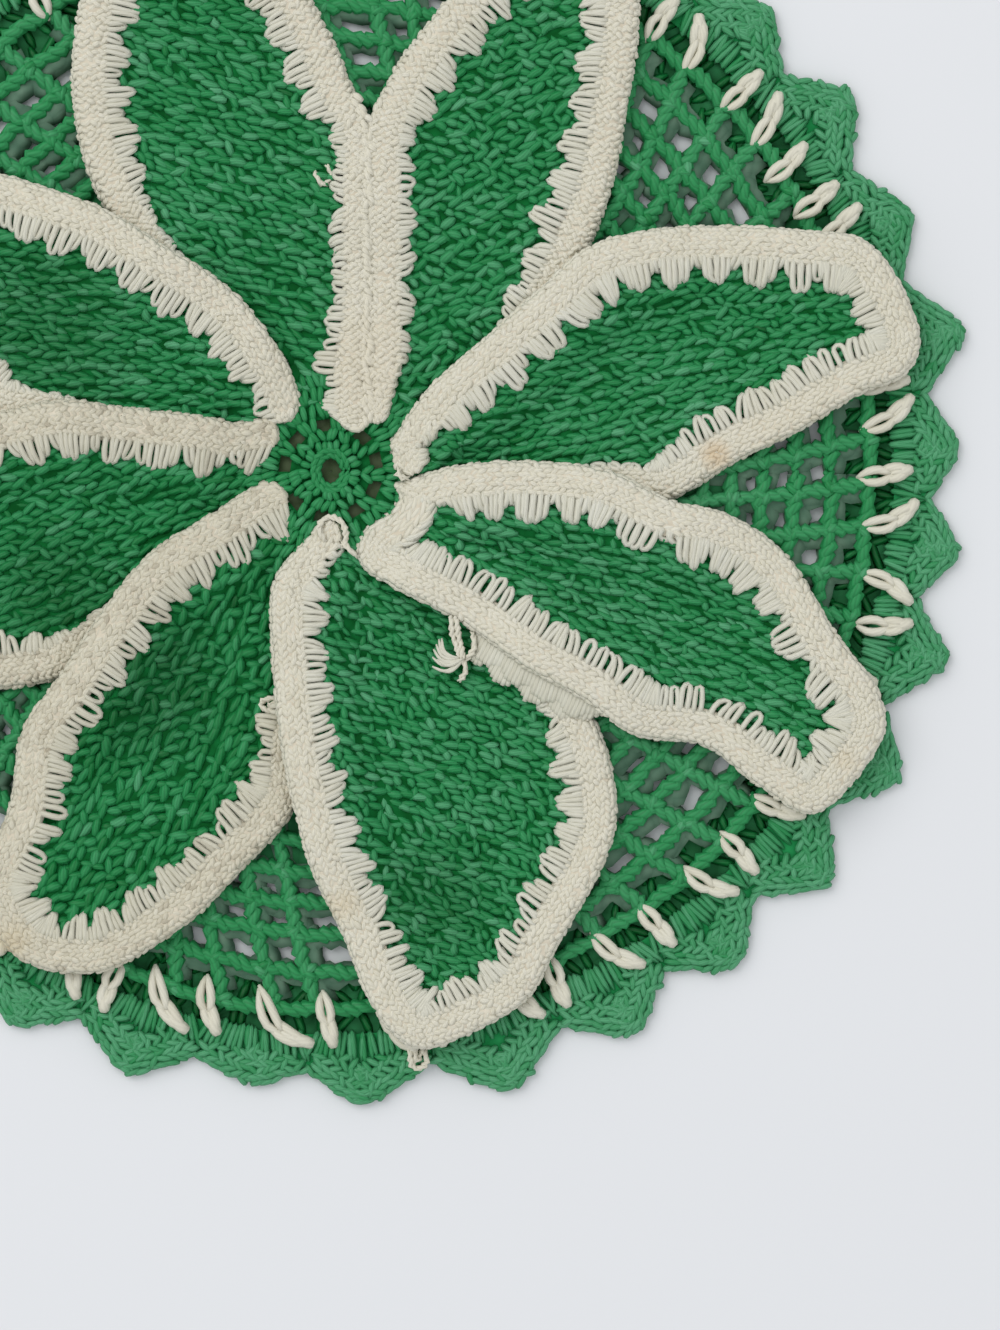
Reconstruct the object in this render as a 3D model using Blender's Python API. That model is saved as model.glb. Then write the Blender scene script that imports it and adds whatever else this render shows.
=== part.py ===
"""A round crocheted lace doily, 205 mm across, lying flat.

Eight leaf-shaped petals of green cotton grow out of a small ringed centre. Each is bound
with a cream edging, and the petals lap over one another like a pinwheel. Under them lies
a green net, then a round of cream stitches, then a green border of pointed shells.

Lengths are in millimetres until they reach Blender, which is given metres. Angles are in
degrees, counterclockwise from +X. The doily's centre is the origin and it lies on Z = 0.
"""

import math

import bmesh
import bpy
import numpy as np

MM = 0.001
CLEAR = 0.3  # the gap that touching pieces keep

# The net: 64 radial strands and five rings of strand.
STRAND = 2.5
NET_THICK = 1.8
NET_INNER, NET_OUTER = 46.0, 86.7
NET_RINGS = (64.0, 69.0, 74.0, 79.8, 85.9)
NET_SKEW = 16.0  # degrees that a radial strand leans from the radius
NOTCH_SHARE = 0.5  # the innermost row of cells is open only where no petal covers it

# The centre: a ringed hole, a dense disc, spokes with gaps between them, and a last ring.
CENTRE_HOLE = (1.2, 1.9)
CENTRE_DISC = 6.2
SPOKE_END = 8.6
CENTRE_REACH = 9.6
CENTRE_THICK = 1.6
SPOKE_GAPS = (12, 48, 98, 138, 171, 220, 260, 301, 337)
SPOKE_GAP_HALF = 10

# The border of pointed shells. Its underside is rabbeted over the cream chain.
SHELLS = 32
BORDER_INNER = 89.6
BORDER_THICK = 2.2
RABBET_REACH = 93.0
RABBET_ROOF = 1.3
VALLEY_REACH = 96.0
POINT_REACH = 102.0
# Points that stray from the even 32: (number counterclockwise from +X, degrees, reach)
STRAYED_POINTS = (
    (0, 2.1, 100.4),
    (1, 12.6, 103.6),
    (2, 24.0, 101.4),
    (22, 251.1, 101.6),
    (23, 262.8, 98.8),
    (24, 272.7, 101.4),
    (25, 286.4, 102.9),
    (26, 298.5, 102.1),
    (27, 309.4, 102.2),
    (28, 320.4, 103.4),
    (29, 331.5, 103.2),
    (30, 342.8, 103.0),
    (31, 352.7, 101.1),
)
# Half a shell's outline: share of the way to the point, share of the rise to its reach.
SHELL_RISE = ((0.0, 0.0), (0.91, 1.0))

# The cream round: two stitches at each valley, on a chain hidden under the border.
STITCH_WIDE = 2.8
STITCH_FOOT = 84.2
STITCH_END = 92.8
# Where a pair stands about its valley, in degrees: the middle of the pair and each
# stitch's distance from it, at the feet on the net and at the ends on the border.
STITCH_FEET = (-1.2, 2.6)
STITCH_ENDS = (0.15, 1.45)
CHAIN_INNER, CHAIN_OUTER, CHAIN_THICK = 88.9, 92.6, 1.0
LEG_INNER, LEG_OUTER = 87.9, 89.2
STITCH_TOP = 3.4

# The petals.
PETAL_THICK = 1.4
PETAL_START = 9.95
ONTO_NET = (30.0, 45.0, 2.2)  # from this radius to that one a petal climbs so far
ONTO_STITCHES = (64.0, 82.5, 1.55)
LAP_LIFT = 3.0  # how far the upper petal's edge rises over a lower one
LAP_WIDE = 7.1  # how far a lower petal reaches under the upper one
LAP_END = 54.0  # the radius where the lower petal comes out from under the upper one
LAP_TAPER = 18.0
LIFT_FROM = (10.0, 24.0)  # the lift comes in between these radii
LIFT_TO = (56.0, 78.0)  # and goes between these
LIFT_FLAT = 9.5  # how far in from the petal's edge the lift is full
LIFT_ENDS = (10.5, 15.5)  # how far in it has gone, on a narrow and on a wide petal
LIFT_REST = 8.6  # the part of a petal's width that stays down, where there is room
BESIDE_GAP = 0.45
BASE_GAP = 0.35  # between a lower petal's base and the seam
BASE_SLIDES = (20.0, 26.0)  # between these radii that base slides under its neighbour

# The grid of a petal's sheet: radii of its rows, and its lines in from each edge as
# (distance, and at most this share of the width).
PETAL_ROWS = (PETAL_START, 14, 18.5, 23, 27.5, 34, 41, 48, 55, 63, 71, 78, 83.5)
PETAL_LINES = ((LIFT_FLAT, 0.32), (LIFT_ENDS[1], 0.44))
ROWS_AT_TIP = 2.0  # between the last two rows
EVEN_NEAR_TIP = 12.0  # so near the tip the lines spread evenly over the width

# The edging: a solid outer part, which carries on down to the petal's own level, and a
# scalloped tongue over the petal. Near the centre shares of the width bound both.
EDGING_WIDE = 9.0
EDGING_SOLID = 4.0
EDGING_HIGH = 2.65
EDGING_HIDDEN_START = 32.0
TONGUE_GAP = 0.55
TONGUE_LAPPED = 5.2  # how far it reaches in where the petal lies under its neighbour
TONGUE_FREES = (44.0, 64.0)  # between these radii it comes out to its full width
SCALLOP_PITCH = 7.1
SCALLOP_DEEP = 0.65
SCALLOP_LEAST = 0.4  # the tongue's least reach past the solid part
SOLID_SHARE, SOLID_SHARE_OF_TWO = 0.5, 0.27  # of two where both edges show
TONGUE_SHARE, TONGUE_SHARE_OF_TWO = 0.78, 0.44
TONGUE_BACK = 3.0  # the tongue is bounded by the width this much nearer the centre

# Where neighbours meet, the seam is given at the first five radii. Beyond the last of
# them the petals part, and each edge is given at three radii and at its shoulder.
SEAM_RADII = (10.0, 20.0, 32.0, 44.0, LAP_END)
FREE_RADII = (64.0, 74.0, 84.0)
SHOULDER = 3.0  # how far the shoulder lies inside the tip
PATH_STEP = 0.5
TIPS = (  # petal number: degrees, reach
    (14.0, 95.9),
    (64.0, 94.0),
    (106.0, 94.0),
    (151.5, 94.0),
    (194.0, 93.7),
    (238.0, 91.7),
    (280.0, 93.0),
    (333.0, 97.3),
)
# One row for each petal's counterclockwise side. "upper" says which of the two lies on
# top there: this petal, the next one, or neither where they lie side by side.
SEAMS = (
    # upper, seam, this petal's free edge, the next petal's free edge
    ("this", (24, 39.5, 40.3, 40.5, 40.5), (36.4, 31.5, 26.8, 22.5), (45.5, 50.5, 54.5, 58)),
    ("neither", (54, 73, 79.5, 82.3, 83.7), (81, 77, 73.5, 70), (88, 92, 96, 100)),
    ("next", (113, 112.8, 118.4, 126.5, 130.8), (128, 123.5, 118, 113), (135.5, 139.5, 142.5, 146)),
    ("next", (148.7, 156, 162.4, 165.8, 171), (165.5, 162.5, 159.5, 156.5), (175, 179, 184, 187)),
    ("next", (190.5, 200.5, 205.3, 213, 217.6), (213, 209, 204, 200), (220.5, 226.6, 229, 232)),
    ("next", (252, 243.5, 253.6, 260, 264.2), (258.1, 253.2, 247.8, 244), (267.7, 271.7, 274.2, 276.5)),
    ("next", (298, 297.5, 310.8, 314.7, 317.8), (313.9, 307.2, 295.2, 289.5), (319, 323.6, 323.6, 324.8)),
    ("this", (348, 362, 362.4, 359.7, 354.9), (353.4, 349.2, 342.2, 337.7), (361, 364.5, 367.9, 369.6)),
)


def clear_scene():
    for obj in list(bpy.data.objects):
        bpy.data.objects.remove(obj, do_unlink=True)


def cotton(name, colour, roughness):
    """A plain cotton finish for the solids."""
    material = bpy.data.materials.new(name)
    material.use_nodes = True
    shader = material.node_tree.nodes["Principled BSDF"]
    shader.inputs["Base Color"].default_value = (*colour, 1.0)
    shader.inputs["Roughness"].default_value = roughness
    shader.inputs["Metallic"].default_value = 0.0
    return material


def rise(start, end, x):
    """0 before start, 1 after end, and a smooth rise between them."""
    share = np.clip((x - start) / (end - start), 0.0, 1.0)
    return share * share * (3.0 - 2.0 * share)


def polar(reach, degrees):
    angle = np.radians(degrees)
    return np.stack([reach * np.cos(angle), reach * np.sin(angle)], axis=-1)


def object_from(name, bm, material):
    """Puts the bmesh, drawn in millimetres, into the scene as one object."""
    bmesh.ops.scale(bm, vec=(MM, MM, MM), verts=bm.verts)
    bmesh.ops.recalc_face_normals(bm, faces=bm.faces)
    mesh = bpy.data.meshes.new(name)
    bm.to_mesh(mesh)
    bm.free()
    mesh.materials.append(material)
    obj = bpy.data.objects.new(name, mesh)
    bpy.context.scene.collection.objects.link(obj)
    return obj


def thicken(bm, thick):
    """Raises a copy of the flat faces by thick, with walls between, so that they close."""
    lower = list(bm.faces)
    made = bmesh.ops.extrude_face_region(bm, geom=lower, use_keep_orig=True)
    raised = [item for item in made["geom"] if isinstance(item, bmesh.types.BMVert)]
    bmesh.ops.translate(bm, vec=(0.0, 0.0, thick), verts=raised)


def sweep_closed(bm, sections, ring):
    """Joins a row of equal sections into a tube. A ring of them closes on itself, and
    otherwise each end gets a cap."""
    rows = [[bm.verts.new(point) for point in section] for section in sections]
    pairs = list(zip(rows, rows[1:]))
    if ring:
        pairs.append((rows[-1], rows[0]))
    for one, other in pairs:
        for k in range(len(one)):
            after = (k + 1) % len(one)
            bm.faces.new((one[k], one[after], other[after], other[k]))
    if not ring:
        bm.faces.new(rows[0][::-1])
        bm.faces.new(rows[-1])


def smooth_path(points, step):
    """A smooth curve through the points, sampled about every step."""
    points = np.asarray(points, float)
    ends = np.vstack([2 * points[0] - points[1], points, 2 * points[-1] - points[-2]])
    found = []
    for a, b, c, d in zip(ends, ends[1:], ends[2:], ends[3:]):
        count = max(2, int(np.linalg.norm(c - b) / step))
        for t in np.arange(count) / count:
            bend = 2 * a - 5 * b + 4 * c - d
            turn = -a + 3 * b - 3 * c + d
            found.append(0.5 * (2 * b + (c - a) * t + bend * t**2 + turn * t**3))
    found.append(points[-1])
    return np.array(found)


def evenly(path, spacing):
    """The path again, with its points about spacing apart."""
    along = np.r_[0.0, np.cumsum(np.linalg.norm(np.diff(path, axis=0), axis=1))]
    count = max(2, round(along[-1] / spacing))
    at = np.linspace(0.0, along[-1], count + 1)
    return np.stack([np.interp(at, along, path[:, k]) for k in (0, 1)], axis=-1)


def inward(path, spread):
    """The unit normals to the left of the path, each turned to the mean of those within
    spread points of it, so that the lines drawn along them don't cross in a tight bend."""
    ahead = np.gradient(path, axis=0)
    ahead /= np.linalg.norm(ahead, axis=1)[:, None]
    padded = np.pad(ahead, ((spread, spread), (0, 0)), mode="edge")
    ahead = sum(padded[k : k + len(ahead)] for k in range(2 * spread + 1))
    ahead /= np.linalg.norm(ahead, axis=1)[:, None]
    return np.stack([-ahead[:, 1], ahead[:, 0]], axis=-1)


def reach_of(points):
    return np.linalg.norm(points, axis=-1)


def degrees_of(points, near):
    """Each point's angle, within half a turn of near."""
    found = np.degrees(np.arctan2(points[..., 1], points[..., 0]))
    return near + (found - near + 180.0) % 360.0 - 180.0


class Petal:
    """One petal's outline and the height at which it lies."""

    def __init__(self, number):
        self.tip_degrees, self.tip_reach = TIPS[number]
        turn = 360.0 if number == 0 else 0.0
        before, after = SEAMS[number - 1], SEAMS[number]
        side_before = {"this": "under", "next": "over", "neither": "beside"}[before[0]]
        side_after = {"this": "over", "next": "under", "neither": "beside"}[after[0]]
        # Side -1 is the clockwise one, and side 1 the counterclockwise one.
        self.lies = {-1: side_before, 1: side_after}
        self.seam = {-1: np.array(before[1]) - turn, 1: np.array(after[1], float)}
        self.free = {-1: np.array(before[3]) - turn, 1: np.array(after[2], float)}
        self.path = self.edge_paths()

    def lapped(self, side, reach):
        """How far this side reaches past the seam, where it lies under its neighbour."""
        if self.lies[side] == "under":
            return LAP_WIDE * np.clip((LAP_END - reach) / LAP_TAPER, 0.0, 1.0)
        if self.lies[side] == "beside":
            return -BESIDE_GAP + 0.0 * reach
        return 0.0 * reach

    def edge_points(self, side):
        seam_radii = np.array(SEAM_RADII)
        past = np.degrees(self.lapped(side, seam_radii) / seam_radii)
        seam = polar(seam_radii, self.seam[side] + side * past)
        seam = np.vstack([0.5 * seam[0], seam])
        free_radii = np.array([*FREE_RADII, self.tip_reach - SHOULDER])
        return np.vstack([seam, polar(free_radii, self.free[side])])

    def edge_paths(self):
        """Each side's outer edge, from the base to the tip."""
        tip = polar(self.tip_reach, self.tip_degrees)
        round_it = np.vstack([self.edge_points(-1), tip, self.edge_points(1)[::-1]])
        outline = smooth_path(round_it, PATH_STEP)
        at_tip = int(np.argmin(reach_of(outline - tip)))
        return {-1: outline[: at_tip + 1], 1: outline[at_tip:][::-1]}

    def seam_degrees(self, side, reach):
        """The seam's angle at this reach, within the lap."""
        path = smooth_path(polar(np.array(SEAM_RADII), self.seam[side]), PATH_STEP)
        return np.interp(reach, reach_of(path), degrees_of(path, self.tip_degrees))

    def edge_degrees(self, side, reach):
        """The outer edge's angle at this reach, up to the shoulder."""
        path = self.path[side]
        top = int(np.argmax(reach_of(path)))
        return np.interp(
            reach, reach_of(path[:top]), degrees_of(path[:top], self.tip_degrees)
        )

    def width(self, reach, to_seams=False):
        """The petal's width along an arc at this reach, with what lies under its
        neighbours or only as far as its seams."""
        reach = np.minimum(reach, self.tip_reach - SHOULDER)
        edges = []
        for side in (-1, 1):
            edge = self.edge_degrees(side, reach)
            if to_seams:
                edge = np.where(reach < LAP_END, self.seam_degrees(side, reach), edge)
            edges.append(edge)
        return np.radians(edges[1] - edges[0]) * reach

    def level(self, points):
        """The height of the petal's underside."""
        reach = reach_of(points)
        level = 0.0 * reach
        for start, end, climb in (ONTO_NET, ONTO_STITCHES):
            level = level + climb * rise(start, end, reach)
        lift = 0.0 * reach
        ends = np.clip(self.width(reach) - LIFT_REST, *LIFT_ENDS)
        flat = np.minimum(LIFT_FLAT, ends - 1.0)
        along = rise(*LIFT_FROM, reach) * (1.0 - rise(*LIFT_TO, reach))
        for side in (-1, 1):
            if self.lies[side] != "over":
                continue
            edge = self.edge_degrees(side, np.minimum(reach, self.tip_reach - SHOULDER))
            inside = side * (edge - degrees_of(points, self.tip_degrees))
            inside = np.radians(inside) * reach
            lift = np.maximum(lift, along * (1.0 - rise(flat, ends, inside)))
        return level + LAP_LIFT * lift


def build_centre(green):
    """The ringed hole and the dense disc, with spokes out to a ring beside the petals."""
    bm = bmesh.new()
    sides = [gap + edge * SPOKE_GAP_HALF for gap in SPOKE_GAPS for edge in (-1, 1)]
    round_it = polar(1.0, np.array(sides, float))
    rings = [
        [bm.verts.new((*point, 0.0)) for point in round_it * reach]
        for reach in (np.array(CENTRE_HOLE), CENTRE_DISC, SPOKE_END, CENTRE_REACH)
    ]
    for i, (inner, outer) in enumerate(zip(rings, rings[1:])):
        for k in range(len(sides)):
            after = (k + 1) % len(sides)
            is_gap = i == 1 and k % 2 == 0
            if not is_gap:
                bm.faces.new((inner[k], outer[k], outer[after], inner[after]))
    thicken(bm, CENTRE_THICK)
    object_from("centre", bm, green)


def shell_points():
    """Each shell's point as (degrees, reach)."""
    strayed = {number: (degrees, reach) for number, degrees, reach in STRAYED_POINTS}
    low, high = 2, 22  # the even run lies between these strayed points
    found = []
    for number in range(SHELLS):
        share = (number - low) / (high - low)
        degrees = strayed[low][0] + share * (strayed[high][0] - strayed[low][0])
        wave = math.sin(2.4 * number)
        even = (degrees + 0.6 * wave, POINT_REACH + 0.9 * wave)
        found.append(strayed.get(number, even))
    return found


def valley_degrees(points):
    """The angle of the valley after each point."""
    return [
        (one[0] + (other[0] if other[0] > one[0] else other[0] + 360.0)) / 2
        for one, other in zip(points, points[1:] + points[:1])
    ]


def build_border(points, valleys, green):
    """One ring of shells, rabbeted underneath along its inner edge."""
    stations = []
    for number, (degrees, reach) in enumerate(points):
        for valley, order in ((valleys[number - 1], 1), (valleys[number], -1)):
            valley = degrees + (valley - degrees + 180.0) % 360.0 - 180.0
            half = [
                (
                    valley + share * (degrees - valley),
                    VALLEY_REACH + up * (reach - VALLEY_REACH),
                )
                for share, up in SHELL_RISE
            ]
            stations += half[::order] if order == 1 else half[:0:-1]
    sections = []
    for degrees, outer in stations:
        profile = (
            (BORDER_INNER, BORDER_THICK),
            (BORDER_INNER, RABBET_ROOF),
            (RABBET_REACH, RABBET_ROOF),
            (RABBET_REACH, 0.0),
            (outer, 0.0),
            (outer, BORDER_THICK),
        )
        sections.append([(*polar(reach, degrees), z) for reach, z in profile])
    bm = bmesh.new()
    sweep_closed(bm, sections, ring=True)
    object_from("border", bm, green)


def net_open(row, degrees, petals):
    """Whether a cell of this row is open. The innermost row opens only in the notches."""
    if row > 0:
        return True
    reach = (NET_RINGS[0] + NET_RINGS[1]) / 2
    for petal in petals:
        away = (degrees - petal.tip_degrees + 180.0) % 360.0 - 180.0
        low = petal.edge_degrees(-1, reach) - petal.tip_degrees
        high = petal.edge_degrees(1, reach) - petal.tip_degrees
        if low * NOTCH_SHARE < away < high * NOTCH_SHARE:
            return False
    return True


def net_lean(reach):
    """How far a radial strand has turned from its outer end's angle at this radius."""
    run = (NET_RINGS[-1] - reach) * math.tan(math.radians(NET_SKEW))
    return -math.degrees(2 * run / (NET_RINGS[-1] + reach))


def build_net(valleys, petals, green):
    """The green net: radial strands and rings, its cells cut through."""
    lines = sorted(
        (valley + STITCH_FEET[0] + side * STITCH_FEET[1]) % 360.0
        for valley in valleys
        for side in (-1, 1)
    )
    radii = [ring + edge * STRAND / 2 for ring in NET_RINGS for edge in (-1, 1)]
    radii[-1] = NET_OUTER
    bm = bmesh.new()
    foot = net_lean(radii[0])
    inner = [bm.verts.new((*polar(NET_INNER, line + foot), 0.0)) for line in lines]
    rows = []
    for reach in radii:
        half = math.degrees(STRAND / 2 / reach)
        leant = [line + net_lean(reach) for line in lines]
        row = [(*polar(reach, line + edge * half), 0.0) for line in leant for edge in (-1, 1)]
        rows.append([bm.verts.new(point) for point in row])
    for k in range(len(lines)):
        near, far = 2 * k, 2 * k + 1
        after = (2 * k + 2) % len(rows[0])
        bm.faces.new((inner[k], rows[0][near], rows[0][far]))
        bm.faces.new((inner[k], rows[0][far], rows[0][after], inner[(k + 1) % len(lines)]))
        middle = lines[k] + foot + 180.0 / len(lines)
        for i, (low, high) in enumerate(zip(rows, rows[1:])):
            bm.faces.new((low[near], high[near], high[far], low[far]))
            is_cell = i % 2
            if is_cell and net_open(i // 2, middle, petals):
                continue
            bm.faces.new((low[far], high[far], high[after], low[after]))
    thicken(bm, NET_THICK)
    object_from("net", bm, green)


def stitch_profile():
    """A cream stitch seen from the side: a bar over net and border, with a leg between
    them down to the chain. Each point is (distance from its foot, height)."""
    over_net, over_border = NET_THICK + CLEAR, BORDER_THICK + CLEAR
    outline = (
        (STITCH_FOOT, over_net),
        (LEG_INNER, over_net),
        (LEG_INNER, 0.0),
        (LEG_OUTER, 0.0),
        (LEG_OUTER, over_border),
        (STITCH_END, over_border),
        (STITCH_END, STITCH_TOP),
        (STITCH_FOOT, STITCH_TOP),
    )
    return [(reach - STITCH_FOOT, z) for reach, z in outline]


def build_cream_round(valleys, cream):
    """The hidden chain, with two stitches at each valley joined to it."""
    bm = bmesh.new()
    for valley in valleys:
        for side in (-1, 1):
            foot = polar(STITCH_FOOT, valley + STITCH_FEET[0] + side * STITCH_FEET[1])
            end = polar(STITCH_END, valley + STITCH_ENDS[0] + side * STITCH_ENDS[1])
            along = (end - foot) / np.linalg.norm(end - foot)
            across = np.array([-along[1], along[0]]) * STITCH_WIDE / 2
            flanks = [
                [(*(foot + along * s + edge * across), z) for s, z in stitch_profile()]
                for edge in (-1, 1)
            ]
            sweep_closed(bm, flanks, ring=False)
    stitches = object_from("cream_stitches", bm, cream)
    stitches.hide_render = True
    stitches.display_type = "WIRE"

    bm = bmesh.new()
    sections = []
    for k in range(2 * SHELLS):
        degrees = k * 180.0 / SHELLS
        profile = (
            (CHAIN_INNER, 0.0),
            (CHAIN_OUTER, 0.0),
            (CHAIN_OUTER, CHAIN_THICK),
            (CHAIN_INNER, CHAIN_THICK),
        )
        sections.append([(*polar(reach, degrees), z) for reach, z in profile])
    sweep_closed(bm, sections, ring=True)
    chain = object_from("cream_round", bm, cream)
    join = chain.modifiers.new("stitches", "BOOLEAN")
    join.operation = "UNION"
    join.object = stitches


def edging_depths(petal, reach, under=False):
    """How far the edging's solid part and its tongue reach in from the outer edge. under
    says where that edge lies under the neighbour."""
    both = all(lies == "over" for lies in petal.lies.values())
    width = petal.width(np.maximum(reach, SEAM_RADII[0]), to_seams=True)
    solid = width * (SOLID_SHARE_OF_TWO if both else SOLID_SHARE)
    width = petal.width(np.maximum(reach - TONGUE_BACK, SEAM_RADII[0]), to_seams=True)
    tongue = width * TONGUE_SHARE - TONGUE_GAP
    if both:
        tongue = np.minimum(tongue, width * TONGUE_SHARE_OF_TWO)
    most = TONGUE_LAPPED + (EDGING_WIDE - TONGUE_LAPPED) * rise(*TONGUE_FREES, reach)
    most = np.where(under, most, EDGING_WIDE)
    return np.minimum(EDGING_SOLID, solid), np.minimum(most, tongue)


def base_green(petal, side, reach):
    """The petal's edge near its base where it lies under its neighbour: it stops short of
    the seam, then slides under it."""
    seam = petal.seam_degrees(side, reach)
    under = LAP_WIDE - EDGING_SOLID - CLEAR
    past = (under + BASE_GAP) * rise(*BASE_SLIDES, reach) - BASE_GAP
    return seam + side * np.degrees(past / reach)


def green_degrees(petal, side, reach):
    """The angle of the petal's own green edge, inside its edging's solid part."""
    if petal.lies[side] == "under" and reach < BASE_SLIDES[1]:
        return base_green(petal, side, reach)
    path = petal.path[side]
    solid, _ = edging_depths(petal, reach_of(path))
    edge = path - side * inward(path, 8) * (solid + CLEAR)[:, None]
    top = int(np.argmax(reach_of(edge)))
    return np.interp(
        reach, reach_of(edge[:top]), degrees_of(edge[:top], petal.tip_degrees)
    )


def build_petal(name, petal, green):
    """The petal's green sheet, drawn row by row from its base to its tip."""
    last = petal.tip_reach - EDGING_SOLID - 2 * CLEAR
    rows = [reach for reach in PETAL_ROWS if reach < last - 1.5 * ROWS_AT_TIP]
    bm = bmesh.new()
    grid = []
    for reach in (*rows, last - ROWS_AT_TIP, last):
        low, high = (green_degrees(petal, side, reach) for side in (-1, 1))
        width = petal.width(reach)
        lines = [
            math.degrees(min(far, share * width) / reach) for far, share in PETAL_LINES
        ]
        low_edge, high_edge = (petal.edge_degrees(side, reach) for side in (-1, 1))
        cuts = [low, *(low_edge + line for line in lines)]
        cuts += [*(high_edge - line for line in lines[::-1]), high]
        if cuts != sorted(cuts) or reach > petal.tip_reach - EVEN_NEAR_TIP:
            cuts = np.linspace(low, high, len(cuts))
        points = polar(reach, np.array(cuts, float))
        grid.append([bm.verts.new((*p, z)) for p, z in zip(points, petal.level(points))])
    for one, other in zip(grid, grid[1:]):
        for k in range(len(one) - 1):
            bm.faces.new((one[k], one[k + 1], other[k + 1], other[k]))
    thicken(bm, PETAL_THICK)
    object_from(name, bm, green)


def edging_path(petal):
    """The edging's outer edge, from the clockwise side's base round the tip and back."""
    halves = {}
    for side in (-1, 1):
        path = petal.path[side]
        start = EDGING_HIDDEN_START if petal.lies[side] == "under" else PETAL_START
        halves[side] = path[reach_of(path) >= start]
    return evenly(np.vstack([halves[-1][:-1], halves[1][::-1]]), SCALLOP_PITCH / 2)


def build_edging(name, petal, cream):
    """The cream edging: a solid outer part, and a thinner scalloped tongue over the petal."""
    path = edging_path(petal)
    normals = inward(path, 2)
    side = np.where(degrees_of(path, petal.tip_degrees) < petal.tip_degrees, -1, 1)
    under = np.array([petal.lies[int(k)] == "under" for k in side])
    solid, tongue = edging_depths(petal, reach_of(path), under)
    sections = []
    for k, (point, normal) in enumerate(zip(path, normals)):
        deep = tongue[k] + SCALLOP_DEEP * (1 if k % 2 else -1)
        deep = max(deep, solid[k] + SCALLOP_LEAST)
        over_petal = PETAL_THICK + TONGUE_GAP
        profile = (
            (0.0, 0.0),
            (0.0, EDGING_HIGH),
            (deep, EDGING_HIGH),
            (deep, over_petal),
            (solid[k], over_petal),
            (solid[k], 0.0),
        )
        places = np.array([point + normal * depth for depth, _ in profile])
        places *= np.maximum(1.0, PETAL_START / reach_of(places))[:, None]
        levels = petal.level(places)
        sections.append([(*p, z + up) for p, z, (_, up) in zip(places, levels, profile)])
    bm = bmesh.new()
    sweep_closed(bm, sections, ring=False)
    object_from(name, bm, cream)


def main():
    clear_scene()
    green = cotton("green_cotton", (0.02, 0.22, 0.08), 0.7)
    cream = cotton("cream_cotton", (0.66, 0.58, 0.46), 0.75)
    petals = [Petal(number) for number in range(len(TIPS))]
    points = shell_points()
    valleys = valley_degrees(points)
    build_centre(green)
    build_net(valleys, petals, green)
    build_cream_round(valleys, cream)
    build_border(points, valleys, green)
    for number, petal in enumerate(petals, start=1):
        build_petal(f"petal_{number}", petal, green)
        build_edging(f"edging_{number}", petal, cream)


main()
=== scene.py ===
# %% [markdown]
# # A crocheted lace doily, stitch by stitch
#
# The doily is 205 mm across: a small ringed centre, eight green petals bound with cream,
# a green net under them, a round of cream stitches and a border of pointed shells. The
# frame that is loaded here already holds each piece as a plain solid. This lesson lays
# real thread over those solids, with every stitch a short bent tube of cotton.
#
# Lengths are in millimetres until a mesh is made. Angles are in degrees, counterclockwise
# from +X, and the doily's centre is the origin.

import functools
import math

import bmesh
import bpy
import numpy as np
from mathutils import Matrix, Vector


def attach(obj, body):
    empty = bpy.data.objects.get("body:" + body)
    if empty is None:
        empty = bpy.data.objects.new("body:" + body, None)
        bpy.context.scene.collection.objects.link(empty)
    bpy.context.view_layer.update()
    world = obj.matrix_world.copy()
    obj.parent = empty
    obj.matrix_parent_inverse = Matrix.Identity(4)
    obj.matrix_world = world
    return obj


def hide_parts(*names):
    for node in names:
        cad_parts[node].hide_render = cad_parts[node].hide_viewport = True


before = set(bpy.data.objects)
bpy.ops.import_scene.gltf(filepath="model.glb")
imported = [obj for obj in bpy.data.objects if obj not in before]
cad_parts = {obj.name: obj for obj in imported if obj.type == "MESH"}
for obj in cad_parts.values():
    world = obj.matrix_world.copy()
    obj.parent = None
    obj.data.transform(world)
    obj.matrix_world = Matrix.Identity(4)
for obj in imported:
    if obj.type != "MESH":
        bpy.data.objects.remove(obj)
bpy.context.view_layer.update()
MM = 0.001
print("the frame holds", len(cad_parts), "pieces")

# %% [markdown]
# ## Sizes of the doily
#
# A maker's pattern comes first. These are the sizes that the plain solids were made from:
# where the net's rounds lie, where each petal ends, and where two neighbouring petals
# meet. The thread is size 10 cotton, 0.75 mm thick when it is pulled tight and a little
# thicker where it lies loose.

# %% Sizes
NET_INNER = 46.0
NET_RINGS = (64.0, 69.0, 74.0, 79.8, 85.9)
# How far a radial bar leans from the radius, in degrees, and how far that varies
NET_SKEW = (15.0, 5.0)

SHELLS = 32
BORDER_INNER = 89.6
VALLEY_REACH = 96.0
POINT_REACH = 102.0
# Points that stray from the even 32: (number counterclockwise from +X, degrees, reach)
STRAYED_POINTS = (
    (0, 2.1, 100.4),
    (1, 12.6, 103.6),
    (2, 24.0, 101.4),
    (22, 251.1, 101.6),
    (23, 262.8, 98.8),
    (24, 272.7, 101.4),
    (25, 286.4, 102.9),
    (26, 298.5, 102.1),
    (27, 309.4, 102.2),
    (28, 320.4, 103.4),
    (29, 331.5, 103.2),
    (30, 342.8, 103.0),
    (31, 352.7, 101.1),
)

PETAL_START = 9.95
ONTO_NET = (30.0, 45.0, 2.2)  # from this radius to that one a petal climbs so far
ONTO_STITCHES = (64.0, 82.5, 1.55)
LAP_LIFT = 3.0  # how far the upper petal's edge rises over a lower one
LAP_END = 54.0
LAP_TAPER = 18.0
LIFT_FROM = (10.0, 24.0)
LIFT_TO = (56.0, 78.0)
LIFT_FLAT = 9.5
LIFT_ENDS = (10.5, 15.5)
LIFT_REST = 8.6
BESIDE_GAP = 0.45
BASE_GAP = 0.35
BASE_SLIDES = (20.0, 26.0)

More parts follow.
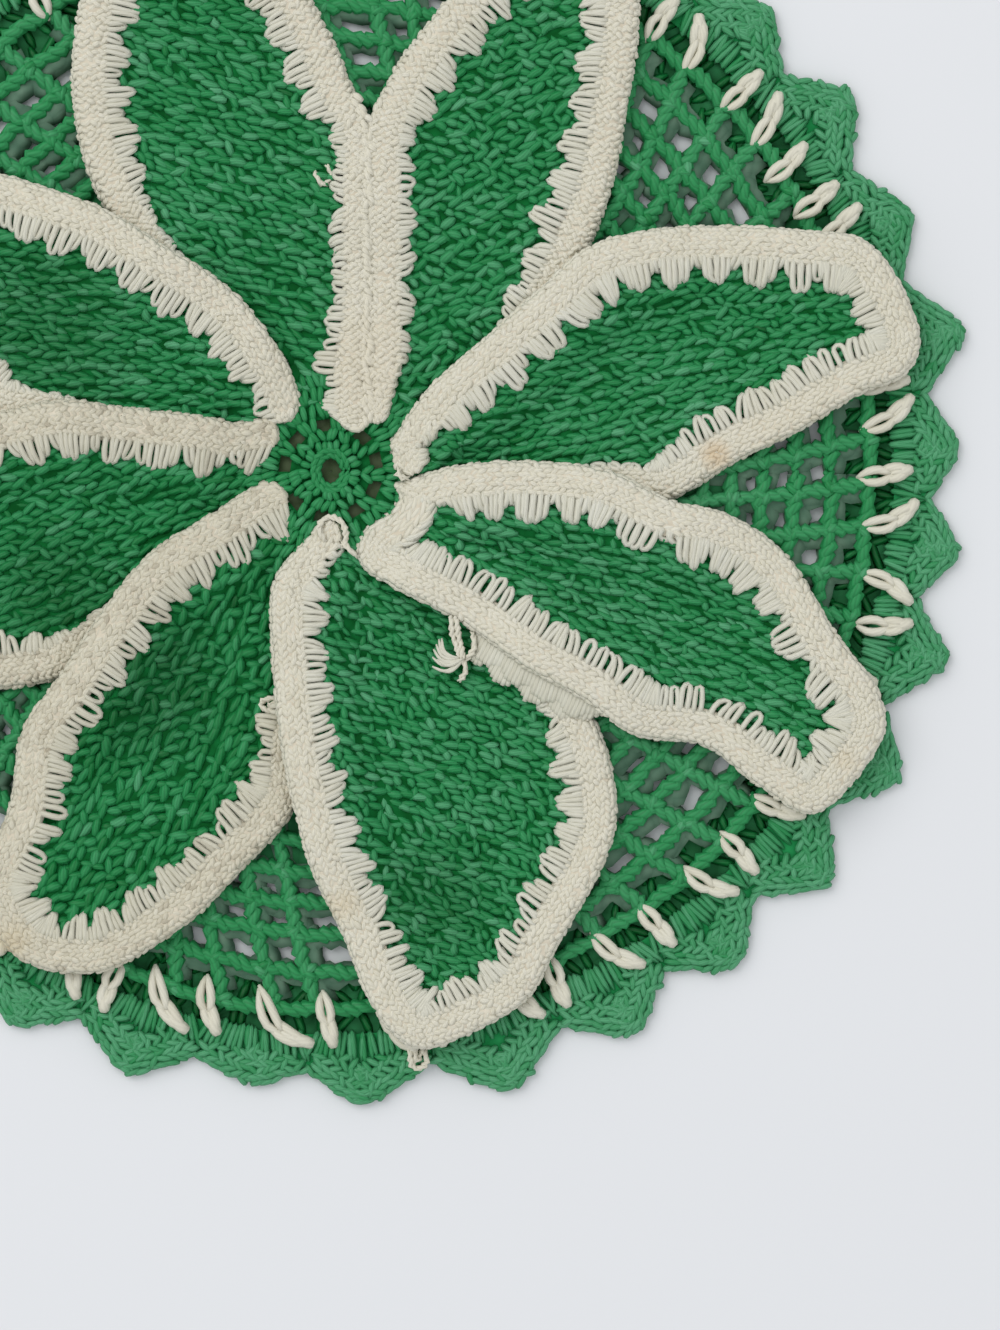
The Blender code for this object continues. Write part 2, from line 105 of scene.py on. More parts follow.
EDGING_WIDE = 9.0
EDGING_SOLID = 4.0
EDGING_HIDDEN_START = 32.0
LAP_WIDE = 7.1  # how far a lower petal runs on under the upper one
TONGUE_LAPPED = 5.2  # how deep the loops reach beside an upper petal,
TONGUE_FREES = (44.0, 64.0)  # and over these radii they come to their full depth
TONGUE_GAP = 0.55
SOLID_SHARE, SOLID_SHARE_OF_TWO = 0.5, 0.27
TONGUE_SHARE, TONGUE_SHARE_OF_TWO = 0.78, 0.44
TONGUE_BACK = 3.0
CLEAR = 0.3

SEAM_RADII = (10.0, 20.0, 32.0, 44.0, LAP_END)
FREE_RADII = (64.0, 74.0, 84.0)
SHOULDER = 3.0
PATH_STEP = 0.5
TIPS = (  # petal number: degrees, reach
    (14.0, 95.9),
    (64.0, 94.0),
    (106.0, 94.0),
    (151.5, 94.0),
    (194.0, 93.7),
    (238.0, 91.7),
    (280.0, 93.0),
    (333.0, 97.3),
)
# One row for each petal's counterclockwise side. "upper" says which of the two lies on
# top there: this petal, the next one, or neither where they lie side by side.
SEAMS = (
    # upper, seam, this petal's free edge, the next petal's free edge
    ("this", (24, 39.5, 40.3, 40.5, 40.5), (36.4, 31.5, 26.8, 22.5), (45.5, 50.5, 54.5, 58)),
    ("neither", (54, 73, 79.5, 82.3, 83.7), (81, 77, 73.5, 70), (88, 92, 96, 100)),
    ("next", (113, 112.8, 118.4, 126.5, 130.8), (128, 123.5, 118, 113), (135.5, 139.5, 142.5, 146)),
    ("next", (148.7, 156, 162.4, 165.8, 171), (165.5, 162.5, 159.5, 156.5), (175, 179, 184, 187)),
    ("next", (190.5, 200.5, 205.3, 213, 217.6), (213, 209, 204, 200), (220.5, 226.6, 229, 232)),
    (
        "next",
        (252, 243.5, 253.6, 260, 264.2),
        (258.1, 253.2, 247.8, 244),
        (267.7, 271.7, 274.2, 276.5),
    ),
    (
        "next",
        (298, 297.5, 310.8, 314.7, 317.8),
        (313.9, 307.2, 295.2, 289.5),
        (319, 323.6, 323.6, 324.8),
    ),
    (
        "this",
        (348, 362, 362.4, 359.7, 354.9),
        (353.4, 349.2, 342.2, 337.7),
        (361, 364.5, 367.9, 369.6),
    ),
)
print(len(TIPS), "petals and", SHELLS, "shells")

# %% [markdown]
# ## Where the petals lie
#
# Each petal's outline is a smooth curve through a few points. Where two petals lap, the
# lower one runs on under the upper one, and the upper one's edge is lifted. The solids
# were drawn by these same rules, so thread that follows them lies where the solids are.


# %% Curves in the plane
def rise(start, end, x):
    """0 before start, 1 after end, and a smooth rise between them."""
    share = np.clip((x - start) / (end - start), 0.0, 1.0)
    return share * share * (3.0 - 2.0 * share)


def polar(reach, degrees):
    angle = np.radians(degrees)
    return np.stack([reach * np.cos(angle), reach * np.sin(angle)], axis=-1)


def reach_of(points):
    return np.linalg.norm(points[..., :2], axis=-1)


def degrees_of(points, near):
    """Each point's angle, within half a turn of near."""
    found = np.degrees(np.arctan2(points[..., 1], points[..., 0]))
    return near + (found - near + 180.0) % 360.0 - 180.0


def unit(vectors):
    return vectors / np.maximum(np.linalg.norm(vectors, axis=-1, keepdims=True), 1e-9)


def left_of(ahead):
    """The directions at right angles to these, to their left."""
    return np.stack([-ahead[..., 1], ahead[..., 0]], axis=-1)


def raised(spots, height):
    """Spots of the plane at this height, or each one at its own."""
    return np.column_stack([spots, np.broadcast_to(height, len(spots))])


def between(a, b, c, d, t):
    """The point at share t of the smooth curve from b to c, where a comes before them
    and d after them."""
    bend = 2 * a - 5 * b + 4 * c - d
    turn = -a + 3 * b - 3 * c + d
    return 0.5 * (2 * b + (c - a) * t + bend * t**2 + turn * t**3)


def smooth_path(points, step):
    """A smooth curve through the points, sampled about every step."""
    points = np.asarray(points, float)
    ends = np.vstack([2 * points[0] - points[1], points, 2 * points[-1] - points[-2]])
    found = []
    for a, b, c, d in zip(ends, ends[1:], ends[2:], ends[3:]):
        count = max(2, int(np.linalg.norm(c - b) / step))
        found += [between(a, b, c, d, t) for t in np.arange(count) / count]
    found.append(points[-1])
    return np.array(found)


def lengths_along(path):
    return np.r_[0.0, np.cumsum(np.linalg.norm(np.diff(path, axis=0), axis=1))]


def inward(path, spread):
    """The unit normals to the left of the path, each turned to the mean of its
    neighbours' so that lines drawn along them don't cross in a tight bend."""
    ahead = unit(np.gradient(path, axis=0))
    padded = np.pad(ahead, ((spread, spread), (0, 0)), mode="edge")
    ahead = sum(padded[k : k + len(ahead)] for k in range(2 * spread + 1))
    return left_of(unit(ahead))


def degrees_at(path, reach, near):
    """The path's angle at this distance from the centre, up to its farthest point."""
    path = path[: int(np.argmax(reach_of(path)))]
    return np.interp(reach, reach_of(path), degrees_of(path, near))


# %% A petal's outline and level
class Petal:
    """One petal's outline and the height at which it lies."""

    def __init__(self, number):
        self.tip_degrees, self.tip_reach = TIPS[number]
        turn = 360.0 if number == 0 else 0.0
        before, after = SEAMS[number - 1], SEAMS[number]
        side_before = {"this": "under", "next": "over", "neither": "beside"}[before[0]]
        side_after = {"this": "over", "next": "under", "neither": "beside"}[after[0]]
        # Side -1 is the clockwise one, and side 1 the counterclockwise one.
        self.lies = {-1: side_before, 1: side_after}
        self.seam = {-1: np.array(before[1]) - turn, 1: np.array(after[1], float)}
        self.free = {-1: np.array(before[3]) - turn, 1: np.array(after[2], float)}
        self.path = self.edge_paths()
        self.seam_path = {
            side: smooth_path(polar(np.array(SEAM_RADII), self.seam[side]), PATH_STEP)
            for side in (-1, 1)
        }

    def lapped(self, side, reach):
        """How far this side reaches past the seam, where it lies under its neighbour."""
        if self.lies[side] == "under":
            return LAP_WIDE * np.clip((LAP_END - reach) / LAP_TAPER, 0.0, 1.0)
        if self.lies[side] == "beside":
            return -BESIDE_GAP + 0.0 * reach
        return 0.0 * reach

    def edge_points(self, side):
        seam_radii = np.array(SEAM_RADII)
        past = np.degrees(self.lapped(side, seam_radii) / seam_radii)
        seam = polar(seam_radii, self.seam[side] + side * past)
        seam = np.vstack([0.5 * seam[0], seam])
        free_radii = np.array([*FREE_RADII, self.tip_reach - SHOULDER])
        return np.vstack([seam, polar(free_radii, self.free[side])])

    def edge_paths(self):
        """Each side's outer edge, from the base to the tip."""
        tip = polar(self.tip_reach, self.tip_degrees)
        round_it = np.vstack([self.edge_points(-1), tip, self.edge_points(1)[::-1]])
        outline = smooth_path(round_it, PATH_STEP)
        at_tip = int(np.argmin(reach_of(outline - tip)))
        return {-1: outline[: at_tip + 1], 1: outline[at_tip:][::-1]}

    def seam_degrees(self, side, reach):
        path = self.seam_path[side]
        return np.interp(reach, reach_of(path), degrees_of(path, self.tip_degrees))

    def edge_degrees(self, side, reach):
        """The outer edge's angle at this reach, up to the shoulder."""
        return degrees_at(self.path[side], reach, self.tip_degrees)

    def width(self, reach, to_seams=False):
        reach = np.minimum(reach, self.tip_reach - SHOULDER)
        edges = []
        for side in (-1, 1):
            edge = self.edge_degrees(side, reach)
            if to_seams:
                edge = np.where(reach < LAP_END, self.seam_degrees(side, reach), edge)
            edges.append(edge)
        return np.radians(edges[1] - edges[0]) * reach

    def level(self, points):
        """The height of the petal's underside."""
        reach = reach_of(points)
        level = 0.0 * reach
        for start, end, climb in (ONTO_NET, ONTO_STITCHES):
            level = level + climb * rise(start, end, reach)
        lift = 0.0 * reach
        ends = np.clip(self.width(reach) - LIFT_REST, *LIFT_ENDS)
        flat = np.minimum(LIFT_FLAT, ends - 1.0)
        along = rise(*LIFT_FROM, reach) * (1.0 - rise(*LIFT_TO, reach))
        for side in (-1, 1):
            if self.lies[side] != "over":
                continue
            edge = self.edge_degrees(side, np.minimum(reach, self.tip_reach - SHOULDER))
            inside = side * (edge - degrees_of(points, self.tip_degrees))
            inside = np.radians(inside) * reach
            lift = np.maximum(lift, along * (1.0 - rise(flat, ends, inside)))
        return level + LAP_LIFT * lift


# %% Where the edging and the green meet
def edging_depths(petal, reach, under=False):
    """How far the edging's solid part and its loops reach in from the outer edge. under
    says where this side lies under its neighbour."""
    both = all(lies == "over" for lies in petal.lies.values())
    width = petal.width(np.maximum(reach, SEAM_RADII[0]), to_seams=True)
    solid = width * (SOLID_SHARE_OF_TWO if both else SOLID_SHARE)
    width = petal.width(np.maximum(reach - TONGUE_BACK, SEAM_RADII[0]), to_seams=True)
    tongue = width * TONGUE_SHARE - TONGUE_GAP
    if both:
        tongue = np.minimum(tongue, width * TONGUE_SHARE_OF_TWO)
    most = TONGUE_LAPPED + (EDGING_WIDE - TONGUE_LAPPED) * rise(*TONGUE_FREES, reach)
    most = np.where(under, most, EDGING_WIDE)
    return np.minimum(EDGING_SOLID, solid), np.minimum(most, tongue)


def green_degrees(petal, side, reach):
    """The angle of the petal's own green edge, inside its edging's solid part."""
    if petal.lies[side] == "under" and reach < BASE_SLIDES[1]:
        under = LAP_WIDE - EDGING_SOLID - CLEAR
        past = (under + BASE_GAP) * rise(*BASE_SLIDES, reach) - BASE_GAP
        return petal.seam_degrees(side, reach) + side * np.degrees(past / reach)
    path = petal.path[side]
    solid, _ = edging_depths(petal, reach_of(path))
    edge = path - side * inward(path, 8) * (solid + CLEAR)[:, None]
    return degrees_at(edge, reach, petal.tip_degrees)


petals = [Petal(number) for number in range(len(TIPS))]
print("petal widths at 50 mm:", [round(float(p.width(50.0)), 1) for p in petals])


# %% Where the shells' points and valleys lie
def shell_points():
    """Each shell's point as (degrees, reach)."""
    strayed = {number: (degrees, reach) for number, degrees, reach in STRAYED_POINTS}
    low, high = 2, 22  # the even run lies between these strayed points
    found = []
    for number in range(SHELLS):
        share = (number - low) / (high - low)
        degrees = strayed[low][0] + share * (strayed[high][0] - strayed[low][0])
        wave = math.sin(2.4 * number)
        even = (degrees + 0.6 * wave, POINT_REACH + 0.9 * wave)
        found.append(strayed.get(number, even))
    return found


def valley_degrees(points):
    """The angle of the valley after each point."""
    return [
        (one[0] + (other[0] if other[0] > one[0] else other[0] + 360.0)) / 2
        for one, other in zip(points, points[1:] + points[:1])
    ]


shell_tips = shell_points()
valleys = valley_degrees(shell_tips)
print("valleys from", round(valleys[0], 1), "to", round(valleys[-1], 1), "degrees")

# %% [markdown]
# ## Colours and cotton
#
# Mercerised cotton is spun, plied and treated so that it shines softly: a thread is three
# plies twisted together, each 0.35 mm wide, and the light runs along them. One function
# turns a hex colour into the linear numbers that Blender's shaders work in, and one
# function adds a node with its settings and links.


# %% Node helpers
def linear(hex_colour):
    """An sRGB hex colour as linear red, green, blue and alpha."""
    found = []
    for k in (0, 2, 4):
        value = int(hex_colour[k : k + 2], 16) / 255
        found.append(value / 12.92 if value <= 0.04045 else ((value + 0.055) / 1.055) ** 2.4)
    return (*found, 1.0)


def add(tree, kind, values=None, links=None, **settings):
    """Adds a node. values are socket values by name or number, links are the outputs
    that feed its sockets, and settings are the node's own properties."""
    node = tree.nodes.new(kind)
    for name, value in settings.items():
        setattr(node, name, value)
    for name, value in (values or {}).items():
        node.inputs[name].default_value = value
    for name, output in (links or {}).items():
        tree.links.new(output, node.inputs[name])
    return node


def new_material(name):
    material = bpy.data.materials.new(name)
    material.use_nodes = True
    tree = material.node_tree
    shader = tree.nodes["Principled BSDF"]
    return material, tree, shader


# %% Plied cotton
PLY_LAY = 2.1  # how far along the thread a ply runs until the next one takes its place
PLIES = 6  # a stitch's leg is two threads of three plies, worked as one
PATCHES = 28.0  # to the metre: patches 36 mm wide
FIBRES = 6000.0  # to the metre: fibres a sixth of a millimetre apart


def multiplied(tree, values, links):
    """The colour at socket 6 times the one at 7, as far as the share at 0 says. The Mix
    node's output 2 is the colour."""
    mix = add(tree, "ShaderNodeMix", values, links, data_type="RGBA", blend_type="MULTIPLY")
    return mix.outputs[2]


def with_stain_or_shade(tree, place, colour, spot, wide, hex_colour, strength):
    """The colour with a soft round patch at a spot, in millimetres from the centre: a stain on the
    ecru cotton, painted shade on the green.
    """
    away = add(
        tree,
        "ShaderNodeVectorMath",
        {1: (spot[0] * MM, spot[1] * MM, 4.0 * MM)},
        {0: place.outputs["Object"]},
        operation="DISTANCE",
    )
    fade = add(
        tree,
        "ShaderNodeMapRange",
        {"From Min": 0.2 * wide * MM, "From Max": wide * MM, "To Min": strength, "To Max": 0.0},
        {"Value": away.outputs["Value"]},
        interpolation_type="SMOOTHSTEP",
    )
    return multiplied(tree, {7: linear(hex_colour)}, {0: fade.outputs[0], 6: colour})


def plied_cotton(name, deep, dark, middle, light, tones, groove_shade, roughness, sheen, stains_and_shade=()):
    """Cotton thread. Each stitch's own shade picks between dark, middle and light, and
    its tone between that and a cooler colour. The plies run round it by its UV map,
    which counts millimetres along the thread and turns around it."""
    material, tree, shader = new_material(name)
    place = add(tree, "ShaderNodeTexCoord")
    shade = add(tree, "ShaderNodeAttribute", attribute_name="shade")
    tone = add(tree, "ShaderNodeAttribute", attribute_name="tone")

    # Patches a few centimetres wide where the cotton has faded or greyed with use.
    patches = add(
        tree,
        "ShaderNodeTexNoise",
        {"Scale": PATCHES, "Detail": 2.0, "Roughness": 0.5},
        {"Vector": place.outputs["Object"]},
    )
    mix = add(
        tree,
        "ShaderNodeMath",
        {1: 0.35},
        {0: patches.outputs["Fac"], 2: shade.outputs["Fac"]},
        operation="MULTIPLY_ADD",
    )
    ramp = add(tree, "ShaderNodeValToRGB", None, {"Fac": mix.outputs[0]})
    ramp.color_ramp.elements[0].color = linear(deep)
    ramp.color_ramp.elements[1].color = linear(light)
    for position, colour in ((0.25, dark), (0.6, middle)):
        ramp.color_ramp.elements.new(position).color = linear(colour)
    # The tone pulls the colour towards a cooler one, which on the flap is painted shade.
    picked = {0: tone.outputs["Fac"], 6: ramp.outputs["Color"]}
    colour = multiplied(tree, {7: linear(tones)}, picked)
    # Each is a soft round patch: the ecru's stains, and painted shade on the green.
    for stain_or_shade in stains_and_shade:
        colour = with_stain_or_shade(tree, place, colour, *stain_or_shade)

    # The plies: one sine wave wound round the thread, which darkens the colour in its troughs:
    # painted shade in the grooves between the plies.
    lay = add(tree, "ShaderNodeSeparateXYZ", None, {"Vector": place.outputs["UV"]})
    turns = add(
        tree,
        "ShaderNodeMath",
        {1: PLIES * 2 * math.pi},
        {0: lay.outputs["Y"]},
        operation="MULTIPLY",
    )
    along = add(
        tree,
        "ShaderNodeMath",
        {1: 2 * math.pi / PLY_LAY},
        {0: lay.outputs["X"], 2: turns.outputs[0]},
        operation="MULTIPLY_ADD",
    )
    wave = add(tree, "ShaderNodeMath", None, {0: along.outputs[0]}, operation="SINE")
    groove_shaded = add(
        tree,
        "ShaderNodeMapRange",
        {"From Min": -1.0, "From Max": 0.1, "To Min": groove_shade, "To Max": 1.0},
        {"Value": wave.outputs[0]},
    )
    plied = multiplied(tree, {0: 1.0}, {6: colour, 7: groove_shaded.outputs[0]})
    tree.links.new(plied, shader.inputs["Base Color"])

    # Short fibres stand off the thread and break up its shine.
    fibres = add(
        tree,
        "ShaderNodeTexNoise",
        {"Scale": FIBRES, "Detail": 2.0},
        {"Vector": place.outputs["Object"]},
    )
    height = add(
        tree,
        "ShaderNodeMath",
        {1: 0.5},
        {0: fibres.outputs["Fac"], 2: wave.outputs[0]},
        operation="MULTIPLY_ADD",
    )
    bump = add(
        tree,
        "ShaderNodeBump",
        {"Strength": 0.35, "Distance": 0.05 * MM},
        {"Height": height.outputs[0]},
    )
    tree.links.new(bump.outputs["Normal"], shader.inputs["Normal"])
    shader.inputs["Roughness"].default_value = roughness
    shader.inputs["Sheen Weight"].default_value = sheen
    shader.inputs["Sheen Roughness"].default_value = 0.4
    shader.inputs["Specular IOR Level"].default_value = 0.25
    return material


# The cream cotton's tea-coloured stains: where, how wide, their colour and strength
STAINS = (
    ((61.1, 2.4), 3.6, "EFCFA6", 0.55),
    ((59.8, -7.6), 3.2, "EBD3B0", 0.5),
    ((81.7, -46.0), 4.0, "E9D2AA", 0.5),
    ((-50.0, -74.6), 5.0, "EAD5AE", 0.5),
    ((2.2, -68.6), 4.5, "EBD7B4", 0.5),
    ((6.8, 17.0), 13.0, "F8EADB", 0.15),
    ((71.0, 8.0), 14.0, "F8EDE2", 0.1),
)
# Painted shade: darker patches on the green, where the petals lie in the shade of their undulations
# and raised edgings, most on the left
PAINTED_SHADE_PATCHES = (
    ((-29.0, -34.0), 17.0, "CBD2CB", 1.0),
    ((-44.0, -19.0), 15.0, "D6DCD6", 1.0),
    ((-46.0, 23.0), 20.0, "DCE2DC", 1.0),
    ((16.0, -68.0), 14.0, "DEE3DE", 1.0),
    ((38.0, -17.0), 13.0, "E0E5E0", 0.3),
)

# Mercerised cotton gives the eye a soft shine along the thread, and dark grooves where
# its plies meet, which are painted shade.
green_thread = plied_cotton(
    "mercerised_green_cotton",
    deep="045824",
    dark="127438",
    middle="28884E",
    light="529E70",
    tones="D8F0DC",
    groove_shade=0.80,
    roughness=0.50,
    sheen=0.0,
    stains_and_shade=PAINTED_SHADE_PATCHES,
)
# Ecru cotton is spun softer and left as it is: matt, a little fuzzy, its plies faint.
cream_thread = plied_cotton(
    "ecru_cotton",
    deep="A8A08C",
    dark="CBC6B2",
    middle="D4D0BE",
    light="D9D6C7",
    tones="F4F8FB",
    groove_shade=0.93,
    roughness=0.85,
    sheen=0.1,
    stains_and_shade=STAINS,
)
print("two cottons:", green_thread.name, "and", cream_thread.name)

# %% [markdown]
# ## The ground cloth
#
# Under the stitches that show, crochet has a close ground of the same thread, in shade.
# Here it is a thin sheet under each petal, strip or ring, painted darker than its thread:
# painted shade for the dark between the stitches. It keeps the floor from showing between
# two stitches, as the real ground does. Its stitches lie too deep to see one by one, so
# they are a pattern of cells and not threads.


# %% Ground cotton
GROUND_CELL = 2.6  # mm, between a stitch's 2.2 mm and a row's 3.2 mm


def ground_cotton(name, dark, light):
    """Close crochet in shade, matt, with soft cells by Object coordinates. Its colour is painted
    shade, darkest at the cells' edges.
    """
    material, tree, shader = new_material(name)
    place = add(tree, "ShaderNodeTexCoord")
    stitches = add(
        tree,
        "ShaderNodeTexVoronoi",
        {"Scale": 1000.0 / GROUND_CELL, "Randomness": 0.75},
        {"Vector": place.outputs["Object"]},
    )
    ramp = add(tree, "ShaderNodeValToRGB", None, {"Fac": stitches.outputs["Distance"]})
    ramp.color_ramp.elements[0].color = linear(light)
    ramp.color_ramp.elements[1].position = 0.7
    ramp.color_ramp.elements[1].color = linear(dark)
    tree.links.new(ramp.outputs["Color"], shader.inputs["Base Color"])
    bump = add(
        tree,
        "ShaderNodeBump",
        {"Strength": 0.8, "Distance": 0.5 * MM},
        {"Height": stitches.outputs["Distance"]},
        invert=True,
    )
    tree.links.new(bump.outputs["Normal"], shader.inputs["Normal"])
    shader.inputs["Roughness"].default_value = 0.9
    shader.inputs["Specular IOR Level"].default_value = 0.1
    return material


# The first four are crocheted cotton, darker than its thread: painted shade for the dark
# between the stitches on it. The fifth is painted shadow in the net's cells, and the last
# painted shade below the centre.
green_ground = ground_cotton("green_cotton_ground", "064E1E", "0F6A32")
border_cotton = ground_cotton("green_cotton_close", "18763E", "288C50")
cream_ground = ground_cotton("ecru_cotton_ground", "C8BFAB", "DAD3C1")
shaded_ground = ground_cotton("green_cotton_in_shade", "205A34", "327C4E")
net_shadow_ground = ground_cotton("painted_shadow_in_net_cells", "50705C", "688470")
centre_shade_ground = ground_cotton("painted_shade_below_the_centre", "46563A", "69755A")
print("grounds:", green_ground.name, cream_ground.name, shaded_ground.name)

# %% [markdown]
# ## Thread as a mesh
#
# A stitch is a short bend of thread, and there are thousands. A curve object for each
# would be slow, so one straight thread is made with bmesh: a circle, extruded ring by
# ring and closed at both ends. Each stitch is a copy of it, bent along its own line with
# arrays, and all the copies of a piece are joined in one mesh.


# %% One straight thread
def extruded(bm, edges):
    """Extrudes the edges, and returns the new vertices and the edges between them."""
    made = bmesh.ops.extrude_edge_only(bm, edges=edges)["geom"]
    new = [item for item in made if isinstance(item, bmesh.types.BMVert)]
    known = set(new)
    lines = [item for item in made if isinstance(item, bmesh.types.BMEdge)]
    return new, [line for line in lines if set(line.verts) <= known]


@functools.cache
def straight_thread(rings, sides):
    """The template: for each corner of each face its ring and its side, counted so that
    the last side runs on to `sides` and a pattern round the thread has no seam."""
    bm = bmesh.new()
    bmesh.ops.create_circle(bm, segments=sides, radius=1.0)
    edges = list(bm.edges)
    for _ in range(rings - 1):
        new, edges = extruded(bm, edges)
        bmesh.ops.translate(bm, vec=(0.0, 0.0, 1.0), verts=new)
    bmesh.ops.holes_fill(bm, edges=list(bm.edges), sides=sides)
    bmesh.ops.recalc_face_normals(bm, faces=bm.faces)
    bm.verts.index_update()
    ring = np.array([round(v.co.z) for v in bm.verts])
    angles = np.array([math.atan2(v.co.y, v.co.x) for v in bm.verts])
    side = np.round((angles - angles[0]) / (2 * math.pi) * sides).astype(int) % sides
    corners, counts, around = [], [], []
    for face in bm.faces:
        own = [v.index for v in face.verts]
        wraps = {0, sides - 1} <= {int(side[k]) for k in own} and len(own) == 4
        corners += own
        counts.append(len(own))
        around += [sides if wraps and side[k] == 0 else int(side[k]) for k in own]
    bm.free()
    return ring, side, np.array(corners), np.array(counts), np.array(around)


# %% Bent copies of it
def frames_along(paths):
    """For each point of each path, a direction across it and one up from it."""
    ahead = unit(np.gradient(paths, axis=1))
    across = np.cross((0.0, 0.0, 1.0), ahead)
    steep = np.linalg.norm(across, axis=-1, keepdims=True) < 0.05
    across = unit(np.where(steep, np.cross((0.31, 0.95, 0.0), ahead), across))
    return across, np.cross(ahead, across)


def bent(paths, radii, sides=6, shade=0.5, tone=0.0, flat=1.0):
    """Copies of the straight thread, one along each path. paths are (count, rings, 3)
    in millimetres, and radii, shade and tone go with them. flat is the thread's height
    as a share of its width."""
    count, rings, _ = paths.shape
    ring, side, corners, counts, around = straight_thread(rings, sides)
    across, up = frames_along(paths)
    angle = 2 * math.pi * side / sides
    radii = np.broadcast_to(radii, (count, rings))[:, ring, None]
    spots = paths[:, ring]
    spots = spots + radii * np.cos(angle)[:, None] * across[:, ring]
    spots = spots + radii * flat * np.sin(angle)[:, None] * up[:, ring]
    steps = np.linalg.norm(np.diff(paths, axis=1), axis=2)
    along = np.concatenate([np.zeros((count, 1)), np.cumsum(steps, axis=1)], axis=1)
    around = np.broadcast_to(around / sides, (count, len(around)))
    offset = np.arange(count)[:, None] * len(ring)
    per_spot = (count, len(ring))
    return {
        "spots": spots.reshape(-1, 3),
        "corners": (corners + offset).ravel(),
        "counts": np.tile(counts, count),
        "uv": np.stack([along[:, ring[corners]], around], axis=-1).reshape(-1, 2),
        "shade": np.broadcast_to(np.reshape(shade, (-1, 1)), per_spot).ravel(),
        "tone": np.broadcast_to(np.reshape(tone, (-1, 1)), per_spot).ravel(),
    }


# %% Join them as one piece
TABLE = 0.02  # mm over the floor: what meets the table is pressed flat there


def placed(name, data):
    """An object of this mesh, light or camera, in the scene."""
    obj = bpy.data.objects.new(name, data)
    bpy.context.scene.collection.objects.link(obj)
    return obj


def thread_piece(name, bundles, material):
    """One object from bundles of bent thread, with its UV map and its two attributes."""
    whole = {
        key: np.concatenate([bundle[key] for bundle in bundles])
        for key in ("spots", "counts", "uv", "shade", "tone")
    }
    base = np.cumsum([0] + [len(bundle["spots"]) for bundle in bundles[:-1]])
    corners = np.concatenate([b["corners"] + n for b, n in zip(bundles, base)])
    spots = whole["spots"] * MM
    spots[:, 2] = np.maximum(spots[:, 2], TABLE * MM)
    counts = whole["counts"]
    mesh = bpy.data.meshes.new(name)
    mesh.vertices.add(len(spots))
    mesh.vertices.foreach_set("co", spots.astype(np.float32).ravel())
    mesh.loops.add(len(corners))
    mesh.loops.foreach_set("vertex_index", corners.astype(np.int32))
    mesh.polygons.add(len(counts))
    starts = np.r_[0, np.cumsum(counts)[:-1]]
    mesh.polygons.foreach_set("loop_start", starts.astype(np.int32))
    mesh.update(calc_edges=True)
    mesh.polygons.foreach_set("use_smooth", np.ones(len(counts), bool))
    layer = mesh.uv_layers.new(name="thread")
    layer.uv.foreach_set("vector", whole["uv"].astype(np.float32).ravel())
    for kind in ("shade", "tone"):
        attribute = mesh.attributes.new(kind, "FLOAT", "POINT")
        attribute.data.foreach_set("value", whole[kind].astype(np.float32))
    mesh.materials.append(material)
    print(f"{name}: {sum(counts - 2)} triangles")
    return placed(name, mesh)


# %% [markdown]
# Two threads twisted round each other make a cord, and a cord is what the net's lines
# look like. A short swollen bend, thinner at both ends, is one leg of a stitch.


# %% Cords and legs
def smoothed(knots, rings):
    """Paths of `rings` points through a few knots each: (count, knots, 3) to
    (count, rings, 3), by a curve that passes through every knot."""
    knots = np.asarray(knots, float)
    before, after = 2 * knots[:, :1] - knots[:, 1:2], 2 * knots[:, -1:] - knots[:, -2:-1]
    padded = np.concatenate([before, knots, after], axis=1)
    at = np.linspace(0.0, knots.shape[1] - 1.0, rings)
    first = np.minimum(at.astype(int), knots.shape[1] - 2)
    return between(*(padded[:, first + k] for k in range(4)), (at - first)[:, None])


def swell(rings, thin=0.5):
    """Radii along a leg of a stitch, as shares of its full radius."""
    t = np.linspace(-1.0, 1.0, rings)
    return thin + (1.0 - thin) * np.sqrt(1.0 - t**2)


def cord(line, radius, off, pitch, step, sides=6, turn=0.0, shade=0.5, tone=0.0, flat=1.0):
    """Two threads twisted round the line, which is (points, 3). flat is how high the cord
    is beside its width."""
    along = lengths_along(line)
    at = np.linspace(0.0, along[-1], max(4, round(along[-1] / step)))
    line = np.stack([np.interp(at, along, line[:, k]) for k in range(3)], axis=-1)[None]
    across, up = frames_along(line)
    bundles = []
    for half in (0.0, math.pi):
        angle = (2 * math.pi * at / pitch + turn + half)[None, :, None]
        path = line + off * (np.cos(angle) * across + flat * np.sin(angle) * up)
        radii = np.full(len(at), radius)
        radii[[0, -1]] *= 0.4
        bundles.append(bent(path, radii, sides, shade, tone, 0.5 + 0.5 * flat))
    return bundles


rng = np.random.default_rng(12)
print("a leg of 5 rings swells as", swell(5).round(2))


# %% [markdown]
# ## The petals
#
# A petal is close single crochet. What shows of each stitch is one plump leg with blunt
# ends, 3 mm long, and the legs lie in rows 1 mm apart, staggered like bricks. Each
# petal's legs lie their own way, some stand across the rest, and no two are quite alike.
# They follow the petal's level, so they climb where it laps over its neighbour.

# %% The legs of the stitches
LEG_PITCH = 1.98
LEG_ROW = 1.02
LEG_HALVES = (1.5, 1.15)  # half a leg's length, and that of one that stands across
LEG_TURNS = (9.0, -11.0)  # a leg's turn from the lay, in an upper and in a lower row
CROSS_TURN = 55.0  # how far one that stands across is turned
LOWER_ROW = 0.22  # how much lower every second row lies
LEG_LEVEL = 0.35
